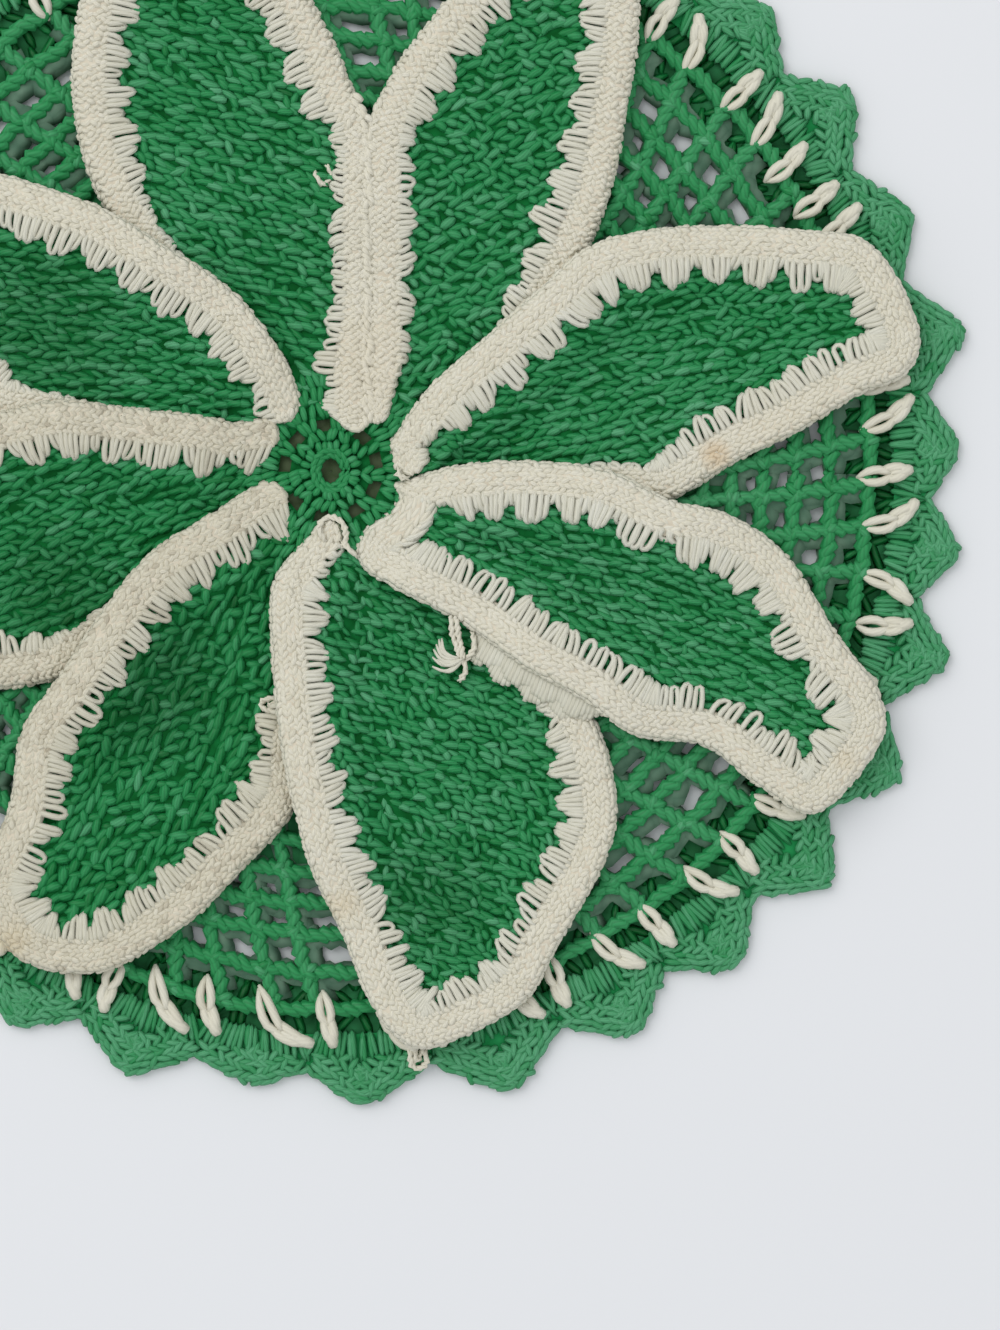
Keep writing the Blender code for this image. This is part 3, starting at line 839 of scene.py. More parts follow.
# One row for each petal: the way that its legs lie, in degrees from +X, the share of
# them that stand across the rest, how large they are, and how light its cotton is.
# The petals on the left, 4 to 6, are darker: painted shade, for the light is dimmer there.
PETAL_LAYS = (
    (10.0, 0.15, 1.0, 0.47),
    (22.0, 0.45, 1.08, 0.49),
    (-20.0, 0.10, 1.08, 0.46),
    (-6.0, 0.05, 1.08, 0.43),
    (20.0, 0.15, 1.08, 0.38),
    (62.0, 0.50, 1.20, 0.33),
    (-20.0, 0.25, 1.0, 0.48),
    (-19.0, 0.07, 1.0, 0.47),
)
# A leg's knots: (share of half its length, share of its bend, height in mm)
LEG_KNOTS = ((-1.0, 0.0, 0.05), (-0.35, 0.8, 0.80), (0.4, 0.8, 1.05), (1.0, 0.0, 0.7))
LEG_SHAPE = 0.64 * np.array([0.6, 0.95, 1.0, 0.95, 0.6])
GREEN_END = 0.8  # the legs stop this far inside the edging's solid part at the tip


def leg_places(petal, lay, size):
    """The middles of the petal's legs, in staggered rows along the lay, and which of them
    are in the lower row of a ridge."""
    ahead = polar(1.0, lay)
    over = left_of(ahead)
    reaches = np.linspace(PETAL_START, petal.tip_reach - EDGING_SOLID - GREEN_END, 60)
    low, high = (
        np.array([green_degrees(petal, side, reach) for reach in reaches]) for side in (-1, 1)
    )
    middle = polar(0.5 * petal.tip_reach, petal.tip_degrees)
    span = 0.6 * petal.tip_reach
    found, lower = [], []
    for number, v in enumerate(np.arange(-span, span, LEG_ROW * size)):
        is_lower = number % 2
        u = np.arange(-span, span, LEG_PITCH * size) + is_lower * LEG_PITCH * size / 2
        # The rows run in slow waves, as a hand works them.
        wave = 0.9 * np.sin(u / 9.0 + 0.05 * v) + 0.3 * np.sin(u / 3.1 + 0.2 * v)
        wave = wave - 0.14 * is_lower
        found.append(middle + u[:, None] * ahead + (v + wave)[:, None] * over)
        lower.append(np.full(len(u), is_lower))
    spots, lower = np.concatenate(found), np.concatenate(lower)
    spots = spots + rng.normal(0.0, 0.17, spots.shape)
    reach, degrees = reach_of(spots), degrees_of(spots, petal.tip_degrees)
    inside = (reach > reaches[0]) & (reach < reaches[-1])
    inside &= np.interp(reach, reaches, low) < degrees
    inside &= degrees < np.interp(reach, reaches, high)
    return spots[inside], lower[inside]


def petal_stitches(petal, lay, crossed, size, shade):
    """The bent threads of all the petal's stitches."""
    spots, lower = leg_places(petal, lay, size)
    count = len(spots)
    stands = rng.random(count) < crossed
    angle = lay + np.where(lower, LEG_TURNS[1], LEG_TURNS[0]) + rng.normal(0.0, 8.0, count)
    angle = angle - stands * rng.normal(CROSS_TURN, 10.0, count)
    half = np.where(stands, LEG_HALVES[1], LEG_HALVES[0]) * size * rng.normal(1.0, 0.13, count)
    ahead = polar(1.0, angle)
    aside = left_of(ahead)
    bend = rng.normal(0.0, 0.22, count)
    knots = []
    for share, bow, height in LEG_KNOTS:
        spot = spots + ahead * (half * share)[:, None] + aside * (bend * bow)[:, None]
        knots.append(raised(spot, height - LOWER_ROW * lower + rng.normal(0.0, 0.10, count)))
    paths = smoothed(np.stack(knots, axis=1), len(LEG_SHAPE))
    paths[..., 2] += petal.level(paths) + LEG_LEVEL
    # Every second row lies lower and is darker: painted shade in the ridges' hollows.
    shades = rng.normal(shade + 0.03, 0.14, count) - 0.10 * lower
    sizes = size * rng.normal(1.0, 0.10, (count, 1))
    return bent(paths, LEG_SHAPE * sizes, sides=4, shade=shades, flat=0.85)


# %% The petals' ground
GROUND_TOP = 1.05  # the ground's top over the petal's underside
GROUND_THICK = 0.5
GROUND_GRID = (34, 15)  # rows of points from base to tip, and points across


def piece_from(bm, name, material, smooth=True):
    """An object from the bmesh, in this material."""
    mesh = bpy.data.meshes.new(name)
    bm.to_mesh(mesh)
    bm.free()
    mesh.polygons.foreach_set("use_smooth", np.full(len(mesh.polygons), smooth))
    mesh.materials.append(material)
    return placed(name, mesh)


def thicken(bm, thick):
    """Turns a sheet's faces up, then gives it its thickness and closes it."""
    bmesh.ops.recalc_face_normals(bm, faces=bm.faces)
    if sum(face.normal.z for face in bm.faces) < 0:
        bmesh.ops.reverse_faces(bm, faces=bm.faces)
    bmesh.ops.solidify(bm, geom=bm.faces, thickness=thick * MM)
    bmesh.ops.recalc_face_normals(bm, faces=bm.faces)


def ground_sheet(name, grid, thick, material):
    """A thin closed sheet: a flat grid laid on the rows of points, and thickened."""
    bm = bmesh.new()
    grid = np.array(grid) * MM
    rows, across = grid.shape[:2]
    bmesh.ops.create_grid(bm, x_segments=across - 1, y_segments=rows - 1, size=1.0)
    for vert, spot in zip(bm.verts, grid.reshape(-1, 3)):
        vert.co = spot
    bmesh.ops.remove_doubles(bm, verts=bm.verts, dist=0.001 * MM)
    thicken(bm, thick)
    return piece_from(bm, name, material)


def petal_ground(name, petal):
    last = petal.tip_reach - EDGING_SOLID - 0.4
    grid = []
    rows, across = GROUND_GRID
    for reach in np.linspace(PETAL_START, last, rows):
        low, high = (green_degrees(petal, side, reach) for side in (-1, 1))
        spots = polar(reach, np.linspace(low, high, across))
        grid.append(raised(spots, petal.level(spots) + GROUND_TOP))
    return ground_sheet(name, grid, GROUND_THICK, green_ground)


def area_of(obj):
    """The area of the sheet's upper side, in square metres."""
    return sum(face.area for face in obj.data.polygons if face.normal.z > 0.3)


# %% Work the petals
petal_pieces = []
for number, petal in enumerate(petals, start=1):
    legs = petal_stitches(petal, *PETAL_LAYS[number - 1])
    worked = thread_piece(f"petal_{number}_stitches", [legs], green_thread)
    ground = petal_ground(f"petal_{number}_ground", petal)
    print(f"petal {number}: ground {area_of(ground) * 1e4:.1f} square cm")
    petal_pieces.append((ground, worked))

# %% [markdown]
# ## The edgings
#
# A cream edging binds each petal. Its outer part is close rows of small chain links
# that slant to and fro, which makes a plump smooth band 5 mm wide. From its inner side,
# U-shaped loops of thread reach 4 mm over the green in groups of three or four, and each
# group ends in a rounded scallop, with a slit of green before the next. On two petals the
# last lobes are closed, and where two petals lie side by side the loops are shorter.

# %% The edging's sizes
# Rows of links: (depth from the outer edge, height over the petal's underside, share of
# the edging's lean, where in its pitch the row starts)
BAND_ROWS = (
    (0.42, 1.50, 0.5, 0.3),
    (0.85, 2.15, -1.0, 0.0),
    (1.50, 2.40, 1.0, 0.5),
    (2.18, 2.50, -1.0, 0.1),
    (2.86, 2.52, 1.0, 0.6),
    (3.54, 2.50, -1.0, 0.2),
    (4.22, 2.46, 1.0, 0.7),
    (4.90, 2.40, -1.0, 0.4),
)
BAND_WIDE = 5.4  # how deep the rows reach
# How light each edging's cotton is. Edgings 5 and 6, on the left, are much darker: painted shade,
# for the light is dimmer there.
BAND_SHADES = (0.5, 0.5, 0.48, 0.42, 0.12, 0.16, 0.48, 0.5)
BAND_LEANS = (30, 62, 66, 34, 40, 32, 36, 28)  # degrees, per petal
LINK_PITCH = 1.15
LINK_LONG = 1.9
LINK_RADIUS = 0.57
SEAM_LINK = (1.8, 0.6)  # a link over a seam between two bands: its length and radius
LINK_THIN, LINK_FLAT = 0.65, 0.66  # how thin a link's ends are, and how flat it is
LOOP_RINGS = 11
LOOP_PITCH = 1.8
CLOSE_PITCH = 0.72  # in a closed lobe the pitch is this share of that
LOOP_RADII = (0.46, 0.5)  # in an open group, and in a closed lobe
LOBE_DROPS = (0.8, 1.15)  # how much shorter a group's outermost loops are, likewise
LOOP_HALF = 0.46  # half the distance between a loop's two strands
# On these petals the loops lie close together in full lobes past this place
CLOSED_LOBES = {1: 84.0, 8: 88.0}
# A loop's knots: share of its length, share of LOOP_HALF aside, height in mm
LOOP_KNOTS = (
    (0.0, -1.0, 2.35),
    (0.4, -1.1, 2.5),
    (0.8, -1.1, 2.15),
    (1.0, -0.5, 1.6),
    (1.0, 0.5, 1.6),
    (0.8, 1.1, 2.15),
    (0.4, 1.1, 2.5),
    (0.0, 1.0, 2.35),
)
LOOP_START = 4.7
SCALLOPS = (5.8, 6.6, 7.2, 7.8)  # widths of a group of loops
# On these petals the first scallops are narrow, as far along the band as this
NARROW_SCALLOPS = {1: 72.0, 8: 58.0}
# Edgings that start nearer the centre than the rest: (petal, side): reach
EARLY_STARTS = {(3, -1): 7.0, (5, -1): 9.6, (6, -1): 7.8, (7, -1): 7.6, (8, -1): 17.6}
# Bands that are broad at their start: how far they bulge out of their line there, how
# deep they are, and the length over which they come down to the usual depth.
BROAD_STARTS = {4: (0.0, 8.4, 9.0), 5: (3.4, 10.2, 8.0), 6: (0.8, 10.4, 14.0)}
# Under a neighbour's edging the loops show from here on: their extra depth, and the
# reaches between which they have it
EARLY_LOOPS = (3.0, (35.0, 40.0), (54.0, 64.0))
EARLY_ON = (2, 6)  # the petals that have them
# Where two edgings lie side by side: how much shorter the petal's loops reach, and the
# share of its rows' depth that is left
BESIDE_SHORT = {2: (1.6, 1.0), 3: (3.3, 0.68)}
BESIDE_FROM = (16.0, 28.0)  # between these radii they come to that
BESIDE_OPENS = 8.0  # over this length the gap between the two closes past LAP_END
CAP = 3.0  # a band's ends are rounded over this length
# Two edgings turn round their petals' bases, past the end of their counterclockwise
# side: the points of their outer edge there, and how deep the band and its loops are.
BASE_TURNS = {
    1: (((9.7, 2.6), (9.9, 0.4), (10.8, -1.6)), (3.6, 5.8)),
    8: (
        (
            *((10.6, -4.0), (9.4, -6.4), (6.2, -8.5), (4.6, -10.7)),
            *((4.3, -13.4), (5.8, -16.2), (8.8, -17.8), (11.0, -19.4)),
        ),
        (4.6, 6.4),
    ),
}
TURN_EASE = 3.0  # over this length the band takes on its depth in the turn


class Band:
    """Places on a petal's edging: along it, in from its edge, and up."""

    def __init__(self, number, petal):
        self.petal = petal
        self.lean = BAND_LEANS[number - 1]
        self.shade = BAND_SHADES[number - 1]
        halves, least, beside, under = [], [], [], []
        for side in (-1, 1):
            path = petal.path[side]
            start = EARLY_STARTS.get((number, side), PETAL_START)
            if petal.lies[side] == "under":
                start = EDGING_HIDDEN_START
            halves.append(path[reach_of(path) >= start])
            least.append(np.full(len(halves[-1]), min(start, PETAL_START)))
            opens = rise(LAP_END, LAP_END + BESIDE_OPENS, reach_of(halves[-1]))
            close = BESIDE_GAP * (1.0 - opens)
            beside.append(close * (petal.lies[side] == "beside"))
            under.append(np.full(len(halves[-1]), petal.lies[side] == "under"))
        self.line, self.least, self.shift, self.under = (
            np.concatenate([one[:-1], other[::-1]])
            for one, other in (halves, least, beside, under)
        )
        self.turn_base(number)
        self.normals = inward(self.line, 4)
        self.along = lengths_along(self.line)
        self.long = self.along[-1]
        self.solid, self.tongue = edging_depths(petal, reach_of(self.line), self.under)
        self.beside = self.shift > 0.1
        shorter, share = BESIDE_SHORT.get(number, (0.0, 1.0))
        near = rise(*BESIDE_FROM, reach_of(self.line)) * self.shift / BESIDE_GAP
        self.tongue -= shorter * near
        self.solid *= 1.0 - (1.0 - share) * near
        if number in EARLY_ON:
            extra, begins, ends = EARLY_LOOPS
            reach = reach_of(self.line)
            self.tongue += self.under * extra * rise(*begins, reach) * (1.0 - rise(*ends, reach))
        out, deep, over = BROAD_STARTS.get(number, (0.0, 0.0, 1.0))
        broad = 1.0 - rise(0.0, over, self.along)
        self.shift = self.shift + broad * out
        self.tongue += broad * np.maximum(deep - self.tongue, 0.0)
        self.solid += broad * (EDGING_SOLID - self.solid) * (deep > 0.0)
        self.cap = 0.01 if number == len(petals) else CAP
        if number in BASE_TURNS:
            eased = rise(self.turn_at - TURN_EASE, self.turn_at + TURN_EASE, self.along)
            solid, tongue = BASE_TURNS[number][1]
            self.solid += eased * (solid - self.solid)
            self.tongue += eased * (tongue - self.tongue)

    def turn_base(self, number):
        """Carries the line on round the petal's base."""
        self.turn_at = lengths_along(self.line)[-1]
        if number not in BASE_TURNS:
            return
        turn = smooth_path(np.vstack([self.line[-1], BASE_TURNS[number][0]]), PATH_STEP)[1:]
        self.line = np.vstack([self.line, turn])
        self.least, self.shift, self.under = (
            np.pad(values, (0, len(turn)), mode="edge")
            for values in (self.least, self.shift, self.under)
        )

    def at(self, values, along):
        return np.interp(along, self.along, values)

    def share(self, along):
        """How deep the rows are, as a share of what they are on a free side."""
        tongue = (self.at(self.tongue, along) - 0.5) / BAND_WIDE
        return np.minimum(self.at(self.solid, along) / EDGING_SOLID, np.maximum(tongue, 0.3))

    def place(self, along, depth, height):
        """Points from arrays of the same shape, the depth for a band 4 mm wide."""
        point, normal = (
            np.stack([self.at(values[:, k], along) for k in (0, 1)], axis=-1)
            for values in (self.line, self.normals)
        )
        # Near an end the rows draw together, which rounds it.
        left = np.minimum(along, self.long - along) / self.cap
        close = np.sqrt(1.0 - (1.0 - left.clip(0.03, 1.0)) ** 2)
        middle = 0.45 * self.at(self.tongue, along)
        depth = middle + (depth - middle) * close
        spot = point + normal * (depth - self.at(self.shift, along))[..., None]
        least = self.at(self.least, along)
        spot = spot * np.maximum(1.0, least / reach_of(spot))[..., None]
        return np.concatenate([spot, (self.petal.level(spot) + height)[..., None]], axis=-1)


# %% The links of the band
def band_links(band):
    bundles = []
    for depth, height, lean, start in BAND_ROWS:
        along = np.arange(start * LINK_PITCH, band.long, LINK_PITCH)
        along = along + rng.normal(0.0, 0.16, len(along))
        along = along.clip(0.1, band.long - 0.1)
        share = band.share(along)
        level = np.where(band.at(band.beside, along) > 0.5, max(height, 2.35), height)
        t = np.linspace(-0.5, 0.5, 4)
        turn = np.radians(lean * band.lean + rng.normal(0.0, 13.0, len(along)))[:, None]
        run = LINK_LONG * np.cos(turn) * t
        cross = LINK_LONG * np.sin(turn) * t
        arch = 0.22 * (1.0 - (2 * t) ** 2) - 0.12
        stray = rng.normal(0.0, 0.07, (2, len(along), 1))
        paths = band.place(
            (along[:, None] + run).clip(0.0, band.long),
            (depth + stray[0]) * share[:, None] + 0.75 * cross,
            level[:, None] + arch + stray[1],
        )
        shade = rng.normal(band.shade, 0.09, len(along))
        radii = LINK_RADIUS * swell(4, LINK_THIN)
        bundles.append(bent(paths, radii, sides=4, shade=shade, flat=LINK_FLAT))
    return bundles


def seam_links(band):
    """A row over the seam where this band lies beside its neighbour's."""
    along = np.arange(0.5, band.long, 0.9)
    along = along[band.at(band.beside, along) > 0.5]
    long, radius = SEAM_LINK
    t = np.linspace(-0.5, 0.5, 4)
    turn = rng.normal(0.6, 0.5, (len(along), 1))
    paths = band.place(
        along[:, None] + long * np.cos(turn) * t,
        rng.normal(0.0, 0.35, (len(along), 1)) + long * np.sin(turn) * t,
        2.45 + 0.2 * (1.0 - (2 * t) ** 2) + rng.normal(0.0, 0.05, (len(along), 1)),
    )
    shade = rng.normal(band.shade, 0.09, len(along))
    return [bent(paths, radius * swell(4, LINK_THIN), sides=4, shade=shade, flat=LINK_FLAT)]


# %% The long loops
def scallops_along(long, narrow):
    """Where each group of loops starts and ends. They are narrow as far as `narrow`."""
    found, start = [], 0.0
    while start < long:
        end = start + rng.choice(SCALLOPS) * (0.5 if start < narrow else 1.0)
        found.append((start, min(end, long)))
        start = end
    return found


def long_loops(band, scallops, closed):
    """Loops of thread that reach in from the band: out, round a bend and back. They lie
    close together past the place called closed."""
    along, shift, deep = [], [], []
    for start, end in scallops:
        pitch = CLOSE_PITCH * LOOP_PITCH if start > closed else LOOP_PITCH
        count = max(2, round((end - start) / pitch))
        t = (np.arange(count) + 0.5) / count
        place = start + (end - start) * t
        fan = 2.0 * t - 1.0
        along.append(place + rng.normal(0.0, 0.16, count))
        lean = rng.normal(0.0, 0.4)
        shift.append(lean - fan * rng.uniform(0.3, 0.9) + rng.normal(0.0, 0.12, count))
        short = LOBE_DROPS[int(start > closed)] * np.abs(fan) ** 3.6
        short = short + rng.normal(0.0, 0.05, count)
        deep.append(rng.uniform(0.94, 1.08) * (1.0 - short))
    along, shift, deep = (np.concatenate(part) for part in (along, shift, deep))
    along = along.clip(0.05, band.long - 0.05)
    wide = LOOP_HALF * rng.normal(1.0, 0.14, len(along))
    start = LOOP_START * band.share(along)
    end = band.at(band.tongue, along)
    end = start + np.maximum((end - start) * deep, 0.7)
    knots = []
    for t, aside, height in LOOP_KNOTS:
        stray = rng.normal(0.0, 0.05, (3, len(along)))
        knots.append(
            band.place(
                (along + shift * t * t + aside * wide + stray[0]).clip(0.0, band.long),
                start + (end - start) * t + stray[1],
                height + stray[2],
            )
        )
    paths = smoothed(np.stack(knots, axis=1), LOOP_RINGS)
    radii = np.where(along > closed, LOOP_RADII[1], LOOP_RADII[0])
    radii = (radii * rng.normal(1.0, 0.06, len(along)))[:, None]
    shade = rng.normal(band.shade + 0.05, 0.08, len(along))
    return [bent(paths, radii, sides=4, shade=shade, tone=0.6, flat=0.8)]


# %% The band's ground
# The ground's profile: depth as (share of the solid part, share of the loops beyond it)
# and height over the petal's underside.
GROUND_PROFILE = (
    ((0.12, 0.0), 0.1),
    ((0.05, 0.0), 1.0),
    ((0.12, 0.0), 1.95),
    ((0.30, 0.0), 2.52),
    ((0.55, 0.0), 2.70),
    ((0.95, 0.0), 2.66),
    ((1.0, 0.18), 2.45),
    ((1.0, 0.33), 2.1),
    ((1.0, 0.36), 1.7),
    ((1.0, 0.20), 1.25),
    ((0.95, 0.0), 1.2),
    ((0.95, 0.0), 0.1),
)


def band_ground(name, band):
    """A closed strip under the links, swept by extruding its profile along the band."""
    along = np.arange(0.0, band.long, 1.2)
    solid, tongue = band.at(band.solid, along), band.at(band.tongue, along)
    sections = []
    for (near, far), height in GROUND_PROFILE:
        depth = near * solid + far * np.maximum(tongue - solid, 0.0)
        sections.append(band.place(along, depth, np.full(len(along), height)))
    sections = np.stack(sections, axis=1) * MM
    bm = bmesh.new()
    ring = [bm.verts.new(point) for point in sections[0]]
    edges = [bm.edges.new((a, b)) for a, b in zip(ring, ring[1:] + ring[:1])]
    for section in sections[1:]:
        new, edges = extruded(bm, edges)
        for vert, point in zip(new, section):
            vert.co = point
    bmesh.ops.holes_fill(bm, edges=bm.edges, sides=len(GROUND_PROFILE))
    bmesh.ops.recalc_face_normals(bm, faces=bm.faces)
    return piece_from(bm, name, cream_ground)


# %% [markdown]
# Two irregular things happened to the edgings. Beside petal 8 the edging has twisted, and
# a flap of its loops has slid out below it over petal 7. And some thread has come loose:
# frayed ends at the flap, a round end where petal 7's edging starts, and single curls.

# %% The flap and the loose threads
FLAP = (33.0, 58.0)  # it runs between these distances from the centre
FLAP_LAYERS = ((3.4, 0.7), (4.6, 0.2))  # how far each layer's loops reach, and their height
LOOSE_RADIUS = 0.36
TUFT = (20.9, -30.0)  # the middle of the frayed end
TUFT_FAN = (140.0, 212.0, 9)  # its threads spread between these angles, and their number
TUFT_RADIUS = 0.30
# Each loose thread: its edging, its height, and the points that it runs through
LOOSE_THREADS = (
    (7, 2.9, ((-0.8, -11.4), (-1.9, -9.0), (-0.3, -7.4), (1.9, -8.3), (2.5, -11.0), (1.6, -12.2))),
    (7, 2.6, ((1.9, -11.2), (3.0, -12.6), (4.5, -13.9))),
    (1, 3.0, ((11.0, 0.4), (10.6, -1.0), (12.6, -1.3))),
    (7, 3.2, ((-5.6, -37.9), (-8.4, -36.2), (-10.9, -36.7), (-10.4, -38.1), (-5.8, -38.9))),
    (7, 3.0, ((-5.6, -37.4), (-9.0, -37.2), (-10.2, -37.4), (-5.8, -38.4))),
    (7, 2.6, ((12.6, -91.2), (12.9, -94.6), (14.2, -95.2), (15.4, -94.0), (14.6, -91.6))),
    (7, 2.5, ((13.4, -91.4), (13.7, -94.2), (14.6, -92.0))),
    (8, 4.6, ((19.3, -22.6), (19.4, -25.8), (20.8, -30.0))),
    (8, 4.7, ((20.0, -22.6), (20.3, -25.8), (21.2, -30.0))),
    (8, 4.6, ((22.6, -25.6), (22.9, -28.2), (21.4, -30.4))),
    (8, 4.3, ((20.8, -29.6), (21.6, -31.8), (20.4, -33.6))),
    (3, 3.4, ((-2.6, 47.8), (-1.2, 45.2), (0.2, 47.0), (-0.6, 48.6))),
)


def flap_loops(band):
    """Loops that reach outward from under the edge, over the petal below."""
    reach = reach_of(band.line)
    half = len(reach) // 2
    first, last = (band.along[:half][np.argmin(abs(reach[:half] - r))] for r in FLAP)
    bundles = []
    for layer, (long, lift) in enumerate(FLAP_LAYERS):
        along = np.arange(first, last, 0.66) + rng.normal(0.0, 0.06, 1)
        ease = rise(first, first + 4.0, along) * (1.0 - rise(last - 4.0, last, along))
        lobe = 1.0 - 0.3 * np.abs(np.sin(along / 1.7 + layer)) ** 3
        out = long * ease * lobe + rng.normal(0.0, 0.12, len(along))
        knots = [
            band.place(along + 0.5 * t, 1.0 - (1.0 + out) * t, lift - 0.9 * t * t + 0.2)
            for t in (np.full(len(along), share) for share in (0.0, 0.4, 0.8, 1.0))
        ]
        paths = smoothed(np.stack(knots, axis=1), 5)
        # The flap's loops are darker and greyer than the band: painted shade, under petal 8's
        # raised edge.
        shade = rng.normal(0.25, 0.08, len(along))
        radii = 0.55 * swell(5, 0.7)
        bundles.append(bent(paths, radii, sides=5, shade=shade, tone=0.8, flat=0.7))
    return bundles


def tuft():
    """A frayed end: single threads that fan out from one place and curl."""
    knots = []
    for angle in np.linspace(*TUFT_FAN) + rng.normal(0.0, 3.0, TUFT_FAN[2]):
        long = rng.uniform(3.8, 5.2)
        spots = [np.array(TUFT) + rng.normal(0.0, 0.25, 2)]
        for share, turn in ((0.35, 24.0), (0.7, 12.0), (1.0, -8.0)):
            spots.append(TUFT + share * long * polar(1.0, angle + turn))
        height = np.array([4.6, 4.9, 4.5, 3.9]) + rng.normal(0.0, 0.15)
        knots.append(raised(spots, height))
    paths = smoothed(np.array(knots), 10)
    return [bent(paths, TUFT_RADIUS * swell(10), sides=5, shade=0.45, tone=0.6)]


def loose_threads(number):
    bundles = []
    for edging, height, run in LOOSE_THREADS:
        if edging == number:
            line = smooth_path(run, 0.6)
            level = height + 0.3 * np.sin(lengths_along(line))
            line = raised(line, level)
            bundles += cord(line, LOOSE_RADIUS, off=0.3, pitch=2.4, step=0.8, sides=5)
    return bundles


# %% Work the edgings
edging_pieces = []
for number, petal in enumerate(petals, start=1):
    band = Band(number, petal)
    scallops = scallops_along(band.long, NARROW_SCALLOPS.get(number, 0.0))
    bundles = band_links(band) + loose_threads(number)
    bundles += long_loops(band, scallops, CLOSED_LOBES.get(number, band.long))
    if number == 3:
        bundles += seam_links(band)
    if number == len(petals):
        bundles += flap_loops(band) + tuft()
    worked = thread_piece(f"edging_{number}_links", bundles, cream_thread)
    ground = band_ground(f"edging_{number}_ground", band)
    print(f"edging {number}: {band.long:.0f} mm long, {len(scallops)} scallops")
    edging_pieces.append((ground, worked))

# %% [markdown]
# ## The net
#
# The net's rounds and its 64 radial bars are cords: two chains twisted about each other
# and pressed flat. The bars lean, as the work twisted while it was drawn in. Where a bar
# crosses a round, a knot of short legs holds them. Dull grey threads lie a little to one
# side below the lines, with pads behind the knots, and close the cells partly: they are
# painted shadow, where the lines' shadows fall on the floor. Two more rounds lie on the
# close ground near the petals, where the cells are filled.

# %% The net's lines
# Where a pair of cream stitches stands about its valley, in degrees: the middle of the
# pair and each one's distance from it, at the feet on the net and at the ends.
STITCH_FEET = (-1.2, 2.6)
STITCH_ENDS = (0.15, 1.45)
NET_LEVEL = 1.75
GROUND_ROUNDS = (54.0, 59.2)
BARS_START = 50.0
ROPE = (0.92, 0.74)  # a round's two threads: their radius, and how far off its line
BAR_ROPE = (0.92, 0.78)
ROPE_TWIST = (4.0, 1.35)  # the length of a full turn, and of a step along it
ROPE_FLAT = 0.8
KNOT_HALF = 1.3  # half the length of a knot's leg
KNOT_RADIUS = 0.76
# The painted shadow under the net's lines: its shift to the lower right, its level, and the radii
# of its threads and pads
SHADOW_SHIFT = (0.8, -0.7)
SHADOW_LEVEL = 0.95
SHADOW_RADIUS = 2.1
SHADOW_PAD_RADIUS = 2.3
net_lines = sorted(
    (valley + STITCH_FEET[0] + side * STITCH_FEET[1]) % 360.0
    for valley in valleys
    for side in (-1, 1)
)


def leant(degrees, reach):
    """The angle at this radius of the bar that ends at this angle on the last round."""
    mean, spread = NET_SKEW
    skew = mean - spread * math.cos(math.radians(2 * degrees))
    run = (NET_RINGS[-1] - reach) * math.tan(math.radians(skew))
    return degrees - np.degrees(2 * run / (NET_RINGS[-1] + reach))


def net_rounds():
    bundles = []
    for number, ring in enumerate(GROUND_ROUNDS + NET_RINGS):
        degrees = np.linspace(0.0, 360.0, round(2 * math.pi * ring / 0.8))
        wave = 0.3 * np.sin(np.radians(degrees) * 64 + number)
        wave += 0.25 * np.sin(np.radians(degrees) * 13 + 2 * number)
        line = raised(polar(ring + wave, degrees), NET_LEVEL)
        line[:, 2] += 0.12 * np.sin(np.radians(degrees) * 23 + number)
        bundles += cord(line, *ROPE, *ROPE_TWIST, 5, turn=number, shade=0.44, flat=ROPE_FLAT)
    return bundles


def net_bars():
    bundles = []
    for number, degrees in enumerate(net_lines):
        reach = np.linspace(BARS_START, NET_RINGS[-1], 30)
        sway = 0.5 * math.sin(number * 1.7) * np.sin((reach - BARS_START) * 0.16 + number)
        line = raised(polar(reach, leant(degrees, reach) + sway), NET_LEVEL)
        bundles += cord(line, *BAR_ROPE, *ROPE_TWIST, 5, turn=number, shade=0.5, flat=ROPE_FLAT)
    return bundles


def net_knots():
    """Short legs over each crossing."""
    paths = []
    for degrees in net_lines:
        for ring in GROUND_ROUNDS + NET_RINGS:
            crossing = leant(degrees, ring)
            for turn, off in ((0.5, -0.4), (-0.6, 0.45)):
                turn += rng.normal(0.0, 0.25)
                middle = polar(ring + off, crossing + rng.normal(0.0, 0.3))
                along = polar(1.0, crossing + 90.0 + math.degrees(turn))
                t = np.linspace(-KNOT_HALF, KNOT_HALF, 5)
                arch = NET_LEVEL + 0.75 - 0.4 * t**2
                paths.append(raised(middle + along * t[:, None], arch))
    shades = rng.normal(0.52, 0.12, len(paths))
    return [bent(np.array(paths), KNOT_RADIUS * swell(5), sides=5, shade=shades, flat=0.8)]


